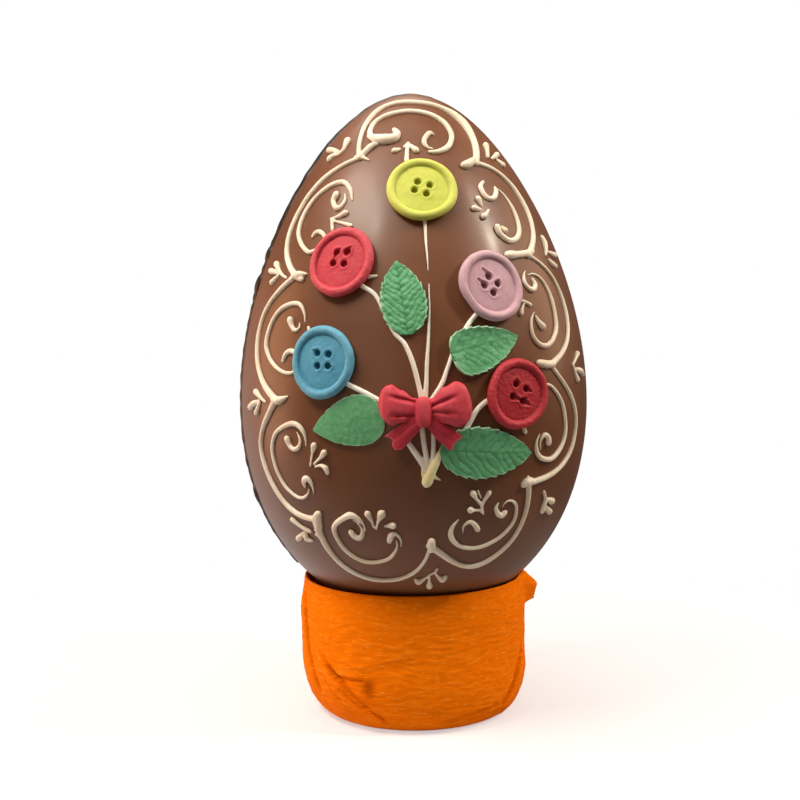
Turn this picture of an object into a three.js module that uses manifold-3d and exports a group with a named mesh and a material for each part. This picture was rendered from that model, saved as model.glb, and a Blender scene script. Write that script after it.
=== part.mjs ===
// A milk chocolate egg, piped with white icing and trimmed with sugar paste buttons, leaves and a bow,
// standing in a collar of orange crepe paper.
//
// Millimetres, +Z up. The origin is the middle of the collar's flat foot, and the decorated side faces -Y.
// A place on the shell is written [around, down]: degrees round the egg from the front, positive
// towards +X, and millimetres down the shell from its tip. Headings on the shell are degrees, with
// 0 to the right, 90 up and 180 to the left.
import * as THREE from "three";
import { mergeVertices } from "three/addons/utils/BufferGeometryUtils.js";
import Module from "manifold-3d";

const wasm = await Module();
wasm.setup();

const degree = Math.PI / 180;
const gap = 0.3; // left between any two pieces that touch
const seatGap = 0.6; // left under a piece laid on the shell, so that its flat facets clear the curve

// The shell: an ellipse whose lower end is fuller than its tip.
const egg = { length: 238, width: 159, bottom: 44, taper: 0.195, fullness: 0.036, rows: 22, columns: 36 };

// Icing is piped with a round nozzle and keeps a flat foot on the chocolate.
const icing = { sink: 0.7, frame: 2.9, scroll: 2.0, stem: 2.3, meeting: 4.6, head: 3.2, tail: 0.9 };

// The bead of melted chocolate that welds the two half shells, with its lumps.
const weld = { around: -79, width: 5.5, rise: 1.2, lump: 10.5, reach: 250 };

const button = {
  radius: 14.6, rim: 4.3, recess: 3.0, recessRadius: 11, edge: 1.2, hole: 1.3, holeSpread: 2.45, sides: 18,
};
const leafSheet = { thickness: 1.3, cup: 1, along: 8, across: 4 };
const bowSize = {
  lift: 2.2, reach: 18.2, knotWidth: 7.4, knotHeight: 13, knotRise: 5.4, tailLift: 3.1, tailThickness: 1.8,
};
const collarSize = {
  foot: 40, wall: 52.2, rim: 50.6, height: 62.5, rounding: 25, lean: -1.2, paper: 1.2, pocket: 7, sides: 30,
};

// ---- the shell's form ----

const halfLength = egg.length / 2;
const bulge = (t) => Math.sin(t) * (1 - egg.taper * Math.cos(t) - egg.fullness * Math.cos(t) ** 2);
const arcSteps = 1200;
const meridian = [{ t: 0, down: 0 }];
let widest = 0;
for (let i = 0; i <= arcSteps; i++) {
  widest = Math.max(widest, bulge((Math.PI * i) / arcSteps));
}
const radiusAt = (t) => (egg.width / 2 / widest) * bulge(t);
const heightAt = (t) => egg.bottom + halfLength * (1 + Math.cos(t));
for (let i = 1; i <= arcSteps; i++) {
  const t = (Math.PI * i) / arcSteps;
  const before = meridian[i - 1];
  const run = Math.hypot(radiusAt(t) - radiusAt(before.t), heightAt(t) - heightAt(before.t));
  meridian.push({ t, down: before.down + run });
}
const meridianLength = meridian[arcSteps].down;

function angleAtDown(down) {
  const wanted = THREE.MathUtils.clamp(down, 0, meridianLength);
  let low = 0;
  let high = arcSteps;
  while (high - low > 1) {
    const middle = (low + high) >> 1;
    if (meridian[middle].down < wanted) {
      low = middle;
    } else {
      high = middle;
    }
  }
  const share = (wanted - meridian[low].down) / (meridian[high].down - meridian[low].down);
  return meridian[low].t + share * (meridian[high].t - meridian[low].t);
}

// How far one degree round the egg reaches, this far down.
const degreeWidth = (down) => radiusAt(angleAtDown(down)) * degree;

// The shell's outward normal in the half plane of a meridian, as its out and up shares.
function profileNormal(t) {
  const nudge = 1e-4;
  const out = heightAt(t - nudge) - heightAt(t + nudge);
  const up = radiusAt(t + nudge) - radiusAt(t - nudge);
  const length = Math.hypot(out, up);
  return { out: out / length, up: up / length };
}

function onShell([around, down]) {
  const t = angleAtDown(down);
  const azimuth = around * degree;
  const outward = new THREE.Vector3(Math.sin(azimuth), -Math.cos(azimuth), 0);
  const point = outward.clone().multiplyScalar(radiusAt(t)).setZ(heightAt(t));
  const slope = profileNormal(t);
  const normal = outward.clone().multiplyScalar(slope.out).setZ(slope.up);
  const right = new THREE.Vector3(Math.cos(azimuth), Math.sin(azimuth), 0);
  const up = new THREE.Vector3().crossVectors(normal, right);
  return { point, normal, right, up };
}

// A place x millimetres to the right of another and y above it, measured along the shell.
function step([around, down], x, y) {
  return [around + x / degreeWidth(down - y), down - y];
}

// A place some millimetres from another along a heading.
function stride(place, heading, length) {
  return step(place, Math.cos(heading * degree) * length, Math.sin(heading * degree) * length);
}

// A point of a flat pattern laid on the shell at an anchor: right, up and out from the shell.
function drape(anchor, { x: right, y: up, z: out }) {
  const seat = onShell(anchor);
  const place = seat.point.clone().addScaledVector(seat.right, right).addScaledVector(seat.up, up);
  const normal = new THREE.Vector3();
  for (let pass = 0; pass < 8; pass++) {
    const t = Math.acos(THREE.MathUtils.clamp((place.z - egg.bottom) / halfLength - 1, -1, 1));
    const radius = Math.hypot(place.x, place.y);
    const slope = profileNormal(t);
    normal.set((place.x / radius) * slope.out, (place.y / radius) * slope.out, slope.up);
    const above = (radius - radiusAt(t)) * slope.out;
    place.addScaledVector(seat.normal, -above / normal.dot(seat.normal));
  }
  return place.addScaledVector(normal, out);
}

// ---- making solids ----

// A closed solid from rings of points, closed to a point at each end. Each ring runs anticlockwise
// about the direction of travel.
function loft(rings, start, end) {
  const sides = rings[0].length;
  const points = [...rings.flat(), start, end];
  const startIndex = rings.length * sides;
  const endIndex = startIndex + 1;
  const faces = [];
  for (let j = 0; j < sides; j++) {
    const k = (j + 1) % sides;
    faces.push(startIndex, k, j);
    for (let i = 0; i + 1 < rings.length; i++) {
      const near = i * sides;
      const far = near + sides;
      faces.push(near + j, near + k, far + k, near + j, far + k, far + j);
    }
    const last = (rings.length - 1) * sides;
    faces.push(endIndex, last + j, last + k);
  }
  const geometry = new THREE.BufferGeometry().setFromPoints(points);
  geometry.setIndex(faces);
  return geometry;
}

// Rings turned about the Z axis from a profile of [radius, height] pairs.
function turned(profile, sides) {
  return profile.map(([radius, height]) =>
    Array.from({ length: sides }, (_, j) => {
      const angle = (2 * Math.PI * j) / sides;
      return new THREE.Vector3(Math.sin(angle) * radius, -Math.cos(angle) * radius, height);
    }));
}

function toSolid(geometry) {
  const bare = geometry.clone();
  bare.deleteAttribute("normal");
  bare.deleteAttribute("uv");
  const merged = mergeVertices(bare);
  const vertProperties = new Float32Array(merged.attributes.position.array);
  const triVerts = new Uint32Array(merged.index.array);
  return new wasm.Manifold(new wasm.Mesh({ numProp: 3, vertProperties, triVerts }));
}

function toGeometry(solid) {
  const mesh = solid.getMesh();
  const geometry = new THREE.BufferGeometry();
  geometry.setAttribute("position", new THREE.BufferAttribute(new Float32Array(mesh.vertProperties), 3));
  geometry.setIndex(new THREE.BufferAttribute(new Uint32Array(mesh.triVerts), 1));
  return geometry;
}

// Lays a geometry made flat on the XY plane over the shell at an anchor.
function laid(geometry, anchor) {
  const position = geometry.attributes.position;
  const local = new THREE.Vector3();
  for (let i = 0; i < position.count; i++) {
    const point = drape(anchor, local.fromBufferAttribute(position, i));
    position.setXYZ(i, point.x, point.y, point.z);
  }
  return geometry;
}

// ---- piped icing ----

// One run of icing through places on the shell. fullness(share) gives its width along its length.
function piped(places, fullness, rise = 0.75) {
  const seats = places.map(onShell);
  const rings = [];
  for (let i = 1; i + 1 < seats.length; i++) {
    const { point, normal } = seats[i];
    const travel = seats[i + 1].point.clone().sub(seats[i - 1].point).normalize();
    const side = new THREE.Vector3().crossVectors(normal, travel).normalize();
    const half = fullness(i / (seats.length - 1)) / 2;
    const corner = (across, out) => point.clone().addScaledVector(side, across).addScaledVector(normal, out);
    const top = 2 * half * rise;
    rings.push([
      corner(-half, -icing.sink),
      corner(-half * 0.62, top),
      corner(half * 0.62, top),
      corner(half, -icing.sink),
    ].reverse());
  }
  const sunk = ({ point, normal }) => point.clone().addScaledVector(normal, -icing.sink / 2);
  return toSolid(loft(rings, sunk(seats[0]), sunk(seats[seats.length - 1])));
}

// A drop: a fine tail at its root that swells to a round head.
function drop(root, heading, length, head = icing.head) {
  const stops = [0, 0.34, 0.74, 0.93, 1];
  const widths = [0, 0.36, 1, 0.8, 0];
  const places = stops.map((share) => stride(root, heading, length * share));
  return piped(places, (share) => head * widths[Math.round(share * (stops.length - 1))]);
}

// Three drops fanned from one root.
function flourish([around, down, heading, length]) {
  const fan = 50;
  const apart = 0.6;
  const side = (way) =>
    drop(step([around, down], 0, way * apart), heading + way * fan, length * 0.72, icing.head * 0.9);
  return [drop([around, down], heading, length), side(1), side(-1)];
}

// A comma starts with a round head and bends at an even rate as it thins to a tail.
function comma([around, down, heading, turn, length]) {
  const steps = Math.max(3, Math.round(length / 2.8));
  const places = [[around, down]];
  for (let i = 0; i < steps; i++) {
    places.push(stride(places[i], heading + (turn * (i + 0.5)) / steps, length / steps));
  }
  const wide = icing.head * 0.85;
  return piped(places, (share) => THREE.MathUtils.lerp(wide, icing.tail, Math.min(1, share * 1.15) ** 0.7));
}

// The scalloped frame, lobe by lobe from the upper left down, across the foot and up the right side.
// Each lobe leaves its meeting point, passes its crown, the furthest point out, and ends at the next
// meeting. leave and arrive are its angles to the straight line between the two meetings. At each
// meeting the icing runs on inward to a round blob, with the heading and length that blob gives.
const lobes = [
  { meeting: [-30, 57], crown: [-58.5, 86], leave: 62, arrive: 66, blob: [335, 8] },
  { meeting: [-45.5, 112.5], crown: [-61.5, 138], leave: 52, arrive: 62, blob: [0, 8.5] },
  { meeting: [-47.5, 165.5], crown: [-57, 192.5], leave: 50, arrive: 84, blob: [20, 9] },
  { meeting: [-36, 216.5], crown: [-20, 248], leave: 72, arrive: 88, blob: [48, 7] },
  { meeting: [4.5, 228], crown: [28.5, 239], leave: 66, arrive: 70, blob: [90, 7] },
  { meeting: [38, 201.5], crown: [61, 183.5], leave: 72, arrive: 56, blob: [160, 6.5] },
  { meeting: [46.7, 152], crown: [62.3, 130], leave: 66, arrive: 74, blob: [180, 10.5] },
  { meeting: [46.5, 104.5], crown: [58.3, 79.5], leave: 60, arrive: 76, blob: [180, 14] },
  { meeting: [35.5, 60], crown: [-3, 20.5], leave: 102, arrive: 104, blob: [200, 8.5] },
];

function lobePlaces(lobe, next) {
  const [around, down] = lobe.crown;
  const flat = ([a, d]) => new THREE.Vector2((a - around) * degreeWidth(d), down - d);
  const [from, crown, to] = [lobe.meeting, lobe.crown, next.meeting].map(flat);
  const chord = to.clone().sub(from).normalize();
  const outward = new THREE.Vector2(chord.y, -chord.x);
  const hold = 0.39; // the handle that makes a quarter circle, as a share of its chord
  const toward = (angle, way) => chord.clone().multiplyScalar(way * Math.cos(angle * degree))
    .addScaledVector(outward, Math.sin(angle * degree));
  const first = hold * from.distanceTo(crown);
  const second = hold * to.distanceTo(crown);
  const curve = new THREE.CurvePath();
  curve.add(new THREE.CubicBezierCurve(from, from.clone().addScaledVector(toward(lobe.leave, 1), first),
    crown.clone().addScaledVector(chord, -first), crown));
  curve.add(new THREE.CubicBezierCurve(crown, crown.clone().addScaledVector(chord, second),
    to.clone().addScaledVector(toward(lobe.arrive, -1), second), to));
  const pieces = Math.round(curve.getLength() / 5.8);
  return curve.getSpacedPoints(pieces).map(({ x, y }) => step(lobe.crown, x, y));
}

// C scrolls, one inside each lobe: centre, half width and half height in millimetres, the angles
// between which the stroke runs, and how far each of its ends tucks in towards the centre.
const scrolls = [
  { centre: [-40, 86], half: [12.4, 16.4], from: 24, to: 275, tuck: [0, 0] },
  { centre: [-44.5, 139.5], half: [13.2, 14.8], from: 31, to: 298, tuck: [0.2, 0.12] },
  { centre: [-42, 191], half: [11.6, 16], from: 26, to: 308, tuck: [0.1, 0] },
  { centre: [-18.5, 225], half: [13.3, 11.5], from: 75, to: 358, tuck: [0.5, 0] },
  { centre: [23.4, 218.2], half: [15, 11.3], from: 58, to: -196, tuck: [0, 0.12] },
  { centre: [45.2, 177.5], half: [11.2, 15], from: 94, to: -164, tuck: [0, 0.28] },
  { centre: [44.3, 129], half: [12, 15.5], from: 90, to: -170, tuck: [0, 0.65] },
  { centre: [39, 84.5], half: [9.9, 13.7], from: 62, to: -130, tuck: [0, 0] },
  { centre: [-1, 43], half: [17.2, 15], from: 195, to: -58, tuck: [0, 0] },
];

function scrollPlaces({ centre, half, from, to, tuck }) {
  const bend = 0.34; // the share of the stroke over which an end tucks in
  const pieces = Math.round((Math.abs(to - from) * degree * (half[0] + half[1])) / 2 / 5);
  return Array.from({ length: pieces + 1 }, (_, i) => {
    const share = i / pieces;
    const angle = (from + (to - from) * share) * degree;
    const nearStart = Math.max(0, 1 - share / bend) ** 2;
    const nearEnd = Math.max(0, 1 - (1 - share) / bend) ** 2;
    const reach = 1 - tuck[0] * nearStart - tuck[1] * nearEnd;
    return step(centre, Math.cos(angle) * half[0] * reach, Math.sin(angle) * half[1] * reach);
  });
}

// A scroll stroke is full along its back and thins towards both ends.
const scrollFullness = (share) => icing.scroll * (0.55 + 0.45 * Math.sin(Math.PI * share) ** 0.6);

// Commas curled inside the scrolls: around, down, first heading, turn and length.
const commas = [
  [-37, 76.3, -80, 110, 9], [-42, 94.2, 15, -45, 6], [-44, 132, -65, 110, 8], [-44.5, 150, 75, -60, 7],
  [-42.5, 181.5, -60, 190, 13], [-37.6, 201, 80, -150, 9], [-23, 221.7, -45, 190, 12],
  [-9.5, 224.6, 75, -150, 8], [20.8, 220, 130, 120, 9], [30.4, 213.7, 200, -115, 8], [44.7, 184, 120, 120, 8],
  [45.3, 116.3, -90, -180, 13], [45.2, 135.8, 160, -60, 6], [43.2, 71.8, 235, -225, 24],
  [38.8, 93.3, 180, -10, 5], [-18, 48.2, -15, 195, 13], [10, 52.4, 150, -120, 10],
];

// Flourishes of three drops, outside the frame's meetings and inside some lobes: around, down, the
// heading of the middle drop and its length.
const flourishes = [
  [-45.5, 52.5, 170, 9.5], [-55.5, 112.5, 174, 13.5], [-54.5, 166.8, 190, 12.5], [-41, 222.3, 210, 12.5],
  [6.5, 242.5, 263, 9.5], [47.3, 210.3, 327, 12.5], [58, 152.5, 340, 13.5], [57.8, 104.3, 358, 12.5],
  [48, 55.2, 5, 8.5], [-2.8, 59.6, 88, 9.5], [-33.4, 190.5, 38, 10], [-14, 218, 60, 8.5],
  [22, 210.2, 135, 8.5], [32.3, 85.5, 160, 8],
];

// The bouquet's stems, from flower or leaf to the tie and on to their cut ends: places passed on the way.
const stems = [
  [[4.8, 91.5], [6, 113], [5.2, 128], [3.4, 164], [3.8, 194.5]],
  [[-16.2, 119.4], [-13.8, 122], [-11.6, 124.6]],
  [[-3.6, 141], [-1.4, 150], [1.6, 162], [2.6, 172]],
  [[-16.6, 160.2], [-14.3, 161.7], [-9.6, 166]],
  [[10.2, 153.2], [8, 159.5], [5.6, 166]],
  [[20, 168.8], [18, 170.2], [16.6, 173.6]],
  [[-1.8, 178], [1.4, 186], [3.4, 195]],
  [[5.2, 175], [5, 186], [4.2, 196]],
];

function stemPlaces(points) {
  const marks = points.map(([around, down]) => new THREE.Vector3(around, down, 0));
  const curve = new THREE.CatmullRomCurve3(marks, false, "chordal");
  const pieces = Math.max(3, Math.round(Math.abs(points[points.length - 1][1] - points[0][1]) / 7));
  return curve.getSpacedPoints(pieces).map(({ x, y }) => [x, y]);
}

function makeIcing() {
  const frame = lobes.map((lobe, i) =>
    piped(lobePlaces(lobe, lobes[(i + 1) % lobes.length]), () => icing.frame, 0.6));
  const overlap = 2;
  const blobs = lobes.map(({ meeting, blob: [heading, length] }) =>
    drop(stride(meeting, heading, -overlap), heading, length + overlap, icing.meeting));
  const strokes = scrolls.map((scroll) => piped(scrollPlaces(scroll), scrollFullness));
  const bouquet = stems.map((points) => piped(stemPlaces(points), () => icing.stem, 0.7));
  const cutEnd = drop([6.4, 187.5], 251, 12, 6);
  const curls = commas.map(comma);
  return [...frame, ...blobs, ...strokes, ...curls, ...flourishes.flatMap(flourish), ...bouquet, cutEnd];
}

// ---- the pieces ----

function makeWeldBead() {
  const pieces = Math.round((2 * weld.reach) / (weld.lump / 2));
  const places = Array.from({ length: pieces + 1 }, (_, i) => {
    const along = weld.reach * (1 - (2 * i) / pieces);
    return along >= 0 ? [weld.around, along] : [weld.around + 180, -along];
  });
  const lumps = [0.72, 1, 0.6, 0.86, 0.7, 1.04, 0.64, 0.92];
  const width = (share) => weld.width * lumps[Math.round(share * pieces) % lumps.length];
  return piped(places, width, weld.rise / weld.width);
}

function makeEgg() {
  const rings = [];
  for (let i = egg.rows - 1; i > 0; i--) {
    const t = angleAtDown((meridianLength * i) / egg.rows);
    rings.push(...turned([[radiusAt(t), heightAt(t)]], egg.columns));
  }
  const axisPoint = (height) => new THREE.Vector3(0, 0, height);
  const shell = toSolid(loft(rings, axisPoint(egg.bottom), axisPoint(egg.bottom + egg.length)));
  return toGeometry(makeIcing().reduce((whole, run) => whole.add(run), shell.add(makeWeldBead())));
}

// A four hole button with a raised rim, cut from sugar paste, laid with its back on the shell.
function makeButton(anchor, tilt) {
  const { radius, rim, recess, recessRadius, edge, hole, holeSpread, sides } = button;
  const profile = [
    [radius - edge, seatGap],
    [radius, seatGap + edge],
    [radius, rim - edge],
    [radius - edge, rim],
    [recessRadius + edge, rim],
    [recessRadius, recess],
  ];
  const axisPoint = (height) => new THREE.Vector3(0, 0, height);
  let disc = toSolid(loft(turned(profile, sides), axisPoint(seatGap), axisPoint(recess)));
  for (let i = 0; i < 4; i++) {
    const angle = (tilt + 90 * i) * degree;
    const drill = new THREE.CylinderGeometry(hole, hole, 3 * rim, 5).rotateX(Math.PI / 2);
    drill.translate(Math.cos(angle) * holeSpread * Math.SQRT2, Math.sin(angle) * holeSpread * Math.SQRT2, 0);
    disc = disc.subtract(toSolid(drill));
  }
  return laid(toGeometry(disc), anchor);
}

// A leaf is a thin cupped sheet: a broad base, a pointed tip and, on some, a toothed edge.
function makeLeaf({ base, tip, halves, teeth }) {
  const { thickness, cup, along, across } = leafSheet;
  const middle = [(base[0] + tip[0]) / 2, (base[1] + tip[1]) / 2];
  const run = new THREE.Vector2((tip[0] - base[0]) * degreeWidth(middle[1]), base[1] - tip[1]);
  const length = run.length();
  run.normalize();
  const side = new THREE.Vector2(-run.y, run.x);
  const rings = [];
  for (let i = 0; i <= along; i++) {
    const share = 0.03 + (0.94 * i) / along;
    const tooth = teeth && i > 0 && i < along ? 0.5 * (i % 2 ? 1 : -1) : 0;
    const swell = Math.sin(Math.PI * share ** 0.8) ** 0.85;
    const row = [];
    for (let j = 0; j <= across; j++) {
      const off = (2 * j) / across - 1;
      const lift = gap + cup * off * off * Math.sin(Math.PI * share) + (j === across / 2 ? 0.4 : 0);
      const half = halves[off > 0 ? 0 : 1] * swell + tooth;
      const flat = run.clone().multiplyScalar((share - 0.5) * length).addScaledVector(side, off * half);
      row.push(new THREE.Vector3(flat.x, flat.y, lift));
    }
    const upper = row.map((point) => point.clone().setZ(point.z + thickness));
    rings.push([...row, ...upper.reverse()]);
  }
  const end = (share) => new THREE.Vector3(run.x, run.y, 0).multiplyScalar((share - 0.5) * length)
    .setZ(gap + thickness / 2);
  return laid(loft(rings, end(0), end(1)), middle);
}

// One loop of the bow: a puffed band that swells out from the knot, to the right or mirrored left.
function bowLoop(way) {
  // each station: distance out, height of its middle, half height and thickness
  const stations = [
    [0, 0.6, 4, 3], [3.4, 1.4, 4.4, 3.4], [8, 2.2, 6.9, 4.6], [12.4, 2.8, 8.3, 5], [15.6, 2.8, 7.4, 4.4],
    [17.5, 2.4, 5, 3],
  ];
  const sides = 10;
  const rings = stations.map(([out, rise, half, thick]) => Array.from({ length: sides }, (_, j) => {
    const angle = (2 * Math.PI * j) / sides;
    const deep = (thick / 2) * (1 + Math.sin(angle));
    return new THREE.Vector3(way * out, rise + half * way * Math.cos(angle), bowSize.lift + deep);
  }));
  const end = (out, rise, deep) => new THREE.Vector3(way * out, rise, bowSize.lift + deep);
  return toSolid(loft(rings, end(-0.4, 0.6, 1.5), end(bowSize.reach, 2, 1.5)));
}

// One tail of the bow: a strip that widens to a notched end.
function bowTail(heading, length) {
  const strip = new THREE.Shape();
  strip.moveTo(-1, 2);
  strip.lineTo(length, 3.8);
  strip.lineTo(length - 2.6, 0.4);
  strip.lineTo(length, -3.8);
  strip.lineTo(-1, -2);
  strip.closePath();
  const solid = new THREE.ExtrudeGeometry(strip, { depth: bowSize.tailThickness, bevelEnabled: false });
  return toSolid(solid.rotateZ(heading * degree).translate(0, -3, bowSize.tailLift));
}

function makeBow(anchor) {
  const { lift, knotWidth, knotHeight, knotRise } = bowSize;
  const knot = new THREE.SphereGeometry(1, 10, 6).rotateX(Math.PI / 2);
  knot.scale(knotWidth / 2, knotHeight / 2, knotRise / 2).translate(0, 0, lift + knotRise / 2);
  const pieces = [bowLoop(-1), bowTail(-139, 15.4), bowTail(-41, 16.2), toSolid(knot)];
  return laid(toGeometry(pieces.reduce((whole, piece) => whole.add(piece), bowLoop(1))), anchor);
}

// The crepe paper collar: a cup with a rounded foot, a seat that follows the egg and a folded ear.
function makeCollar() {
  const { foot, wall, rim, height, rounding, lean, paper, pocket, sides } = collarSize;
  const profile = [[foot, 0]];
  for (let i = 1; i <= 3; i++) {
    const angle = (i / 3) * 90 * degree;
    profile.push([foot + (wall - foot) * Math.sin(angle), rounding * (1 - Math.cos(angle))]);
  }
  profile.push([wall, height - 14], [(wall + rim) / 2, height - 6], [rim, height]);
  const outerRings = profile.length;
  profile.push([rim - paper, height]);
  const seatTop = Math.acos((height - pocket - egg.bottom) / halfLength - 1);
  for (let i = 0; i < 4; i++) {
    const t = THREE.MathUtils.lerp(seatTop, Math.PI, i / 4);
    const slope = profileNormal(t);
    profile.push([radiusAt(t) + seatGap * slope.out, heightAt(t) + seatGap * slope.up]);
  }
  const rings = turned(profile, sides);
  const ear = { around: 96, spread: 16, middle: height - 6, depth: 12, reach: 6.5 };
  rings.slice(0, outerRings).forEach((ring) => ring.forEach((point) => {
    const around = Math.atan2(point.x, -point.y) / degree;
    const near = Math.max(0, 1 - Math.abs(around - ear.around) / ear.spread);
    const level = Math.max(0, 1 - Math.abs(point.z - ear.middle) / ear.depth);
    const radius = Math.hypot(point.x, point.y);
    const grown = (radius + ear.reach * near * level) / radius;
    point.set(point.x * grown + (lean * Math.min(point.z, rounding)) / rounding, point.y * grown, point.z);
  }));
  const axisPoint = (z) => new THREE.Vector3(0, 0, z);
  return loft(rings, axisPoint(0), axisPoint(egg.bottom - seatGap));
}

// ---- the scene graph ----

const finishes = {
  chocolate: { color: 0x70482e, roughness: 0.35 },
  yellowPaste: { color: 0xd3d85a, roughness: 0.6 },
  redPaste: { color: 0xd6404f, roughness: 0.6 },
  lilacPaste: { color: 0xc3a0b8, roughness: 0.6 },
  bluePaste: { color: 0x5a9bc0, roughness: 0.6 },
  crimsonPaste: { color: 0xb92d3c, roughness: 0.6 },
  leafPaste: { color: 0x5aa578, roughness: 0.65 },
  bowPaste: { color: 0xcd3c4b, roughness: 0.55 },
  crepePaper: { color: 0xff7d00, roughness: 0.85 },
};

const part = new THREE.Group();

function addPiece(name, geometry, finish) {
  const material = new THREE.MeshStandardMaterial({ ...finishes[finish], metalness: 0 });
  const mesh = new THREE.Mesh(geometry, material);
  mesh.name = name;
  part.add(mesh);
}

const buttons = [
  { name: "button_yellow", anchor: [3.9, 75.3], tilt: 62, finish: "yellowPaste" },
  { name: "button_red_left", anchor: [-25.3, 107.4], tilt: 45, finish: "redPaste" },
  { name: "button_lilac", anchor: [26.1, 118.6], tilt: 68, finish: "lilacPaste" },
  { name: "button_blue", anchor: [-28.3, 149.2], tilt: 45, finish: "bluePaste" },
  { name: "button_red_right", anchor: [31.4, 163.5], tilt: 70, finish: "crimsonPaste" },
];

const leaves = [
  { name: "leaf_upper_left", base: [-1.9, 137.8], tip: [-5.9, 107.6], halves: [9, 9.4], teeth: true },
  { name: "leaf_upper_right", base: [10.4, 144], tip: [33.2, 139.1], halves: [8.2, 11], teeth: true },
  { name: "leaf_lower_left", base: [-9.3, 171.9], tip: [-31.5, 177.1], halves: [9, 11.4], teeth: false },
  { name: "leaf_lower_right", base: [7, 185], tip: [36.7, 188.3], halves: [10.4, 10.6], teeth: true },
];

addPiece("egg", makeEgg(), "chocolate");
buttons.forEach(({ name, anchor, tilt, finish }) => addPiece(name, makeButton(anchor, tilt), finish));
leaves.forEach((leaf) => addPiece(leaf.name, makeLeaf(leaf), "leafPaste"));
addPiece("bow", makeBow([2.6, 168.8]), "bowPaste");
addPiece("collar", makeCollar(), "crepePaper");

export default part;
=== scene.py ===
import bisect
import math

import bpy
from mathutils import Matrix, Vector, noise
from mathutils.geometry import interpolate_bezier


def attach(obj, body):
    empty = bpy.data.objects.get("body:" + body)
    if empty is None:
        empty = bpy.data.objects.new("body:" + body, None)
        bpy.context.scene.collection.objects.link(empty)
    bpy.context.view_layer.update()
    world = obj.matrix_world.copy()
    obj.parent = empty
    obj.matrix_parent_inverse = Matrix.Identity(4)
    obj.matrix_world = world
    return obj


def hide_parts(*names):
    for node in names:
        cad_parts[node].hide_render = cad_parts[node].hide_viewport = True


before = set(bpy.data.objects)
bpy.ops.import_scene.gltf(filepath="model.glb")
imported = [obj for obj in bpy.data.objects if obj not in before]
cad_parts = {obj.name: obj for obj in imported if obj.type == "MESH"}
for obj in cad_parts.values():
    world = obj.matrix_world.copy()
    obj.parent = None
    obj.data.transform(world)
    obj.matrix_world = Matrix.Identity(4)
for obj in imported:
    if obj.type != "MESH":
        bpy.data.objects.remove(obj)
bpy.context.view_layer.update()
print("frame loaded:", len(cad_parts), "nodes")

mm = 0.001

# The floor's radius in metres, and the camera: its place in millimetres, its tilts in degrees, its lens and
# sensor in millimetres and the frame's width that spots are counted in.
studio = {
    "floorRadius": 0.6, "camera": (-6.35, -600, 195), "pitch": 4.94, "roll": -0.65, "lens": 58.46,
    "sensor": 36, "frameWidth": 800,
}


# The shell's form.

eggForm = {"length": 238, "width": 159, "bottom": 44, "taper": 0.195, "fullness": 0.036, "steps": 1200}
halfLength = eggForm["length"] / 2


def bulge(t):
    return math.sin(t) * (1 - eggForm["taper"] * math.cos(t) - eggForm["fullness"] * math.cos(t) ** 2)


stepAngles = [math.pi * i / eggForm["steps"] for i in range(eggForm["steps"] + 1)]
widest = max(bulge(t) for t in stepAngles)


def radiusAt(t):
    return eggForm["width"] / 2 / widest * bulge(t)


def heightAt(t):
    return eggForm["bottom"] + halfLength * (1 + math.cos(t))


downAt = [0]
for before, here in zip(stepAngles, stepAngles[1:]):
    stepLength = math.hypot(radiusAt(here) - radiusAt(before), heightAt(here) - heightAt(before))
    downAt.append(downAt[-1] + stepLength)


def clamp(value, low=0, high=1):
    return max(low, min(high, value))


def smoothStep(value):
    share = clamp(value)
    return share * share * (3 - 2 * share)


# Where a value falls among rising marks: the index of the mark after it and the share of the way there.
def spotAmong(marks, value):
    index = clamp(bisect.bisect(marks, value), 1, len(marks) - 1)
    return index, (value - marks[index - 1]) / max(1e-9, marks[index] - marks[index - 1])


def angleAtDown(down):
    index, share = spotAmong(downAt, down)
    return stepAngles[index - 1] + clamp(share) * stepAngles[1]


def angleAtHeight(height):
    return math.acos(clamp((height - eggForm["bottom"]) / halfLength - 1, -1, 1))


def degreeWidth(down):
    return radiusAt(angleAtDown(down)) * math.radians(1)


# The shell's outward slope in the half plane of a meridian, as its out and up shares.
def profileNormal(t):
    nudge = 1e-4
    out = heightAt(t - nudge) - heightAt(t + nudge)
    up = radiusAt(t + nudge) - radiusAt(t - nudge)
    length = math.hypot(out, up)
    return out / length, up / length


# A place's point on the shell with its right, up and outward directions.
def onShell(place):
    around, down = place
    t = angleAtDown(down)
    azimuth = math.radians(around)
    outward = Vector((math.sin(azimuth), -math.cos(azimuth), 0))
    point = outward * radiusAt(t) + Vector((0, 0, heightAt(t)))
    out, up = profileNormal(t)
    normal = outward * out + Vector((0, 0, up))
    right = Vector((math.cos(azimuth), math.sin(azimuth), 0))
    return point, right, normal.cross(right), normal


def stepPlace(place, right, up):
    around, down = place
    return around + right / degreeWidth(down - up), down - up


def cameraWays():
    pitch, roll = math.radians(studio["pitch"]), math.radians(studio["roll"])
    forward = Vector((0, math.cos(pitch), -math.sin(pitch)))
    rise = Vector((0, math.sin(pitch), math.cos(pitch)))
    side = Vector((1, 0, 0))
    right = side * math.cos(roll) + rise * math.sin(roll)
    up = rise * math.cos(roll) - side * math.sin(roll)
    return right, up, forward


# How far a point stands off the shell, and the shell's angle there, from 0 at the tip to pi at the bottom.
def offShell(point):
    t = angleAtHeight(point.z)
    out, up = profileNormal(clamp(t, 0.01, 3.13))
    return (math.hypot(point.x, point.y) - radiusAt(t)) * out, t


# The search for the shell along a line from the camera: where it starts and stops, its step, and how often
# the last step is halved.
search = {"start": 480, "stop": 640, "step": 2, "halvings": 12}


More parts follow.
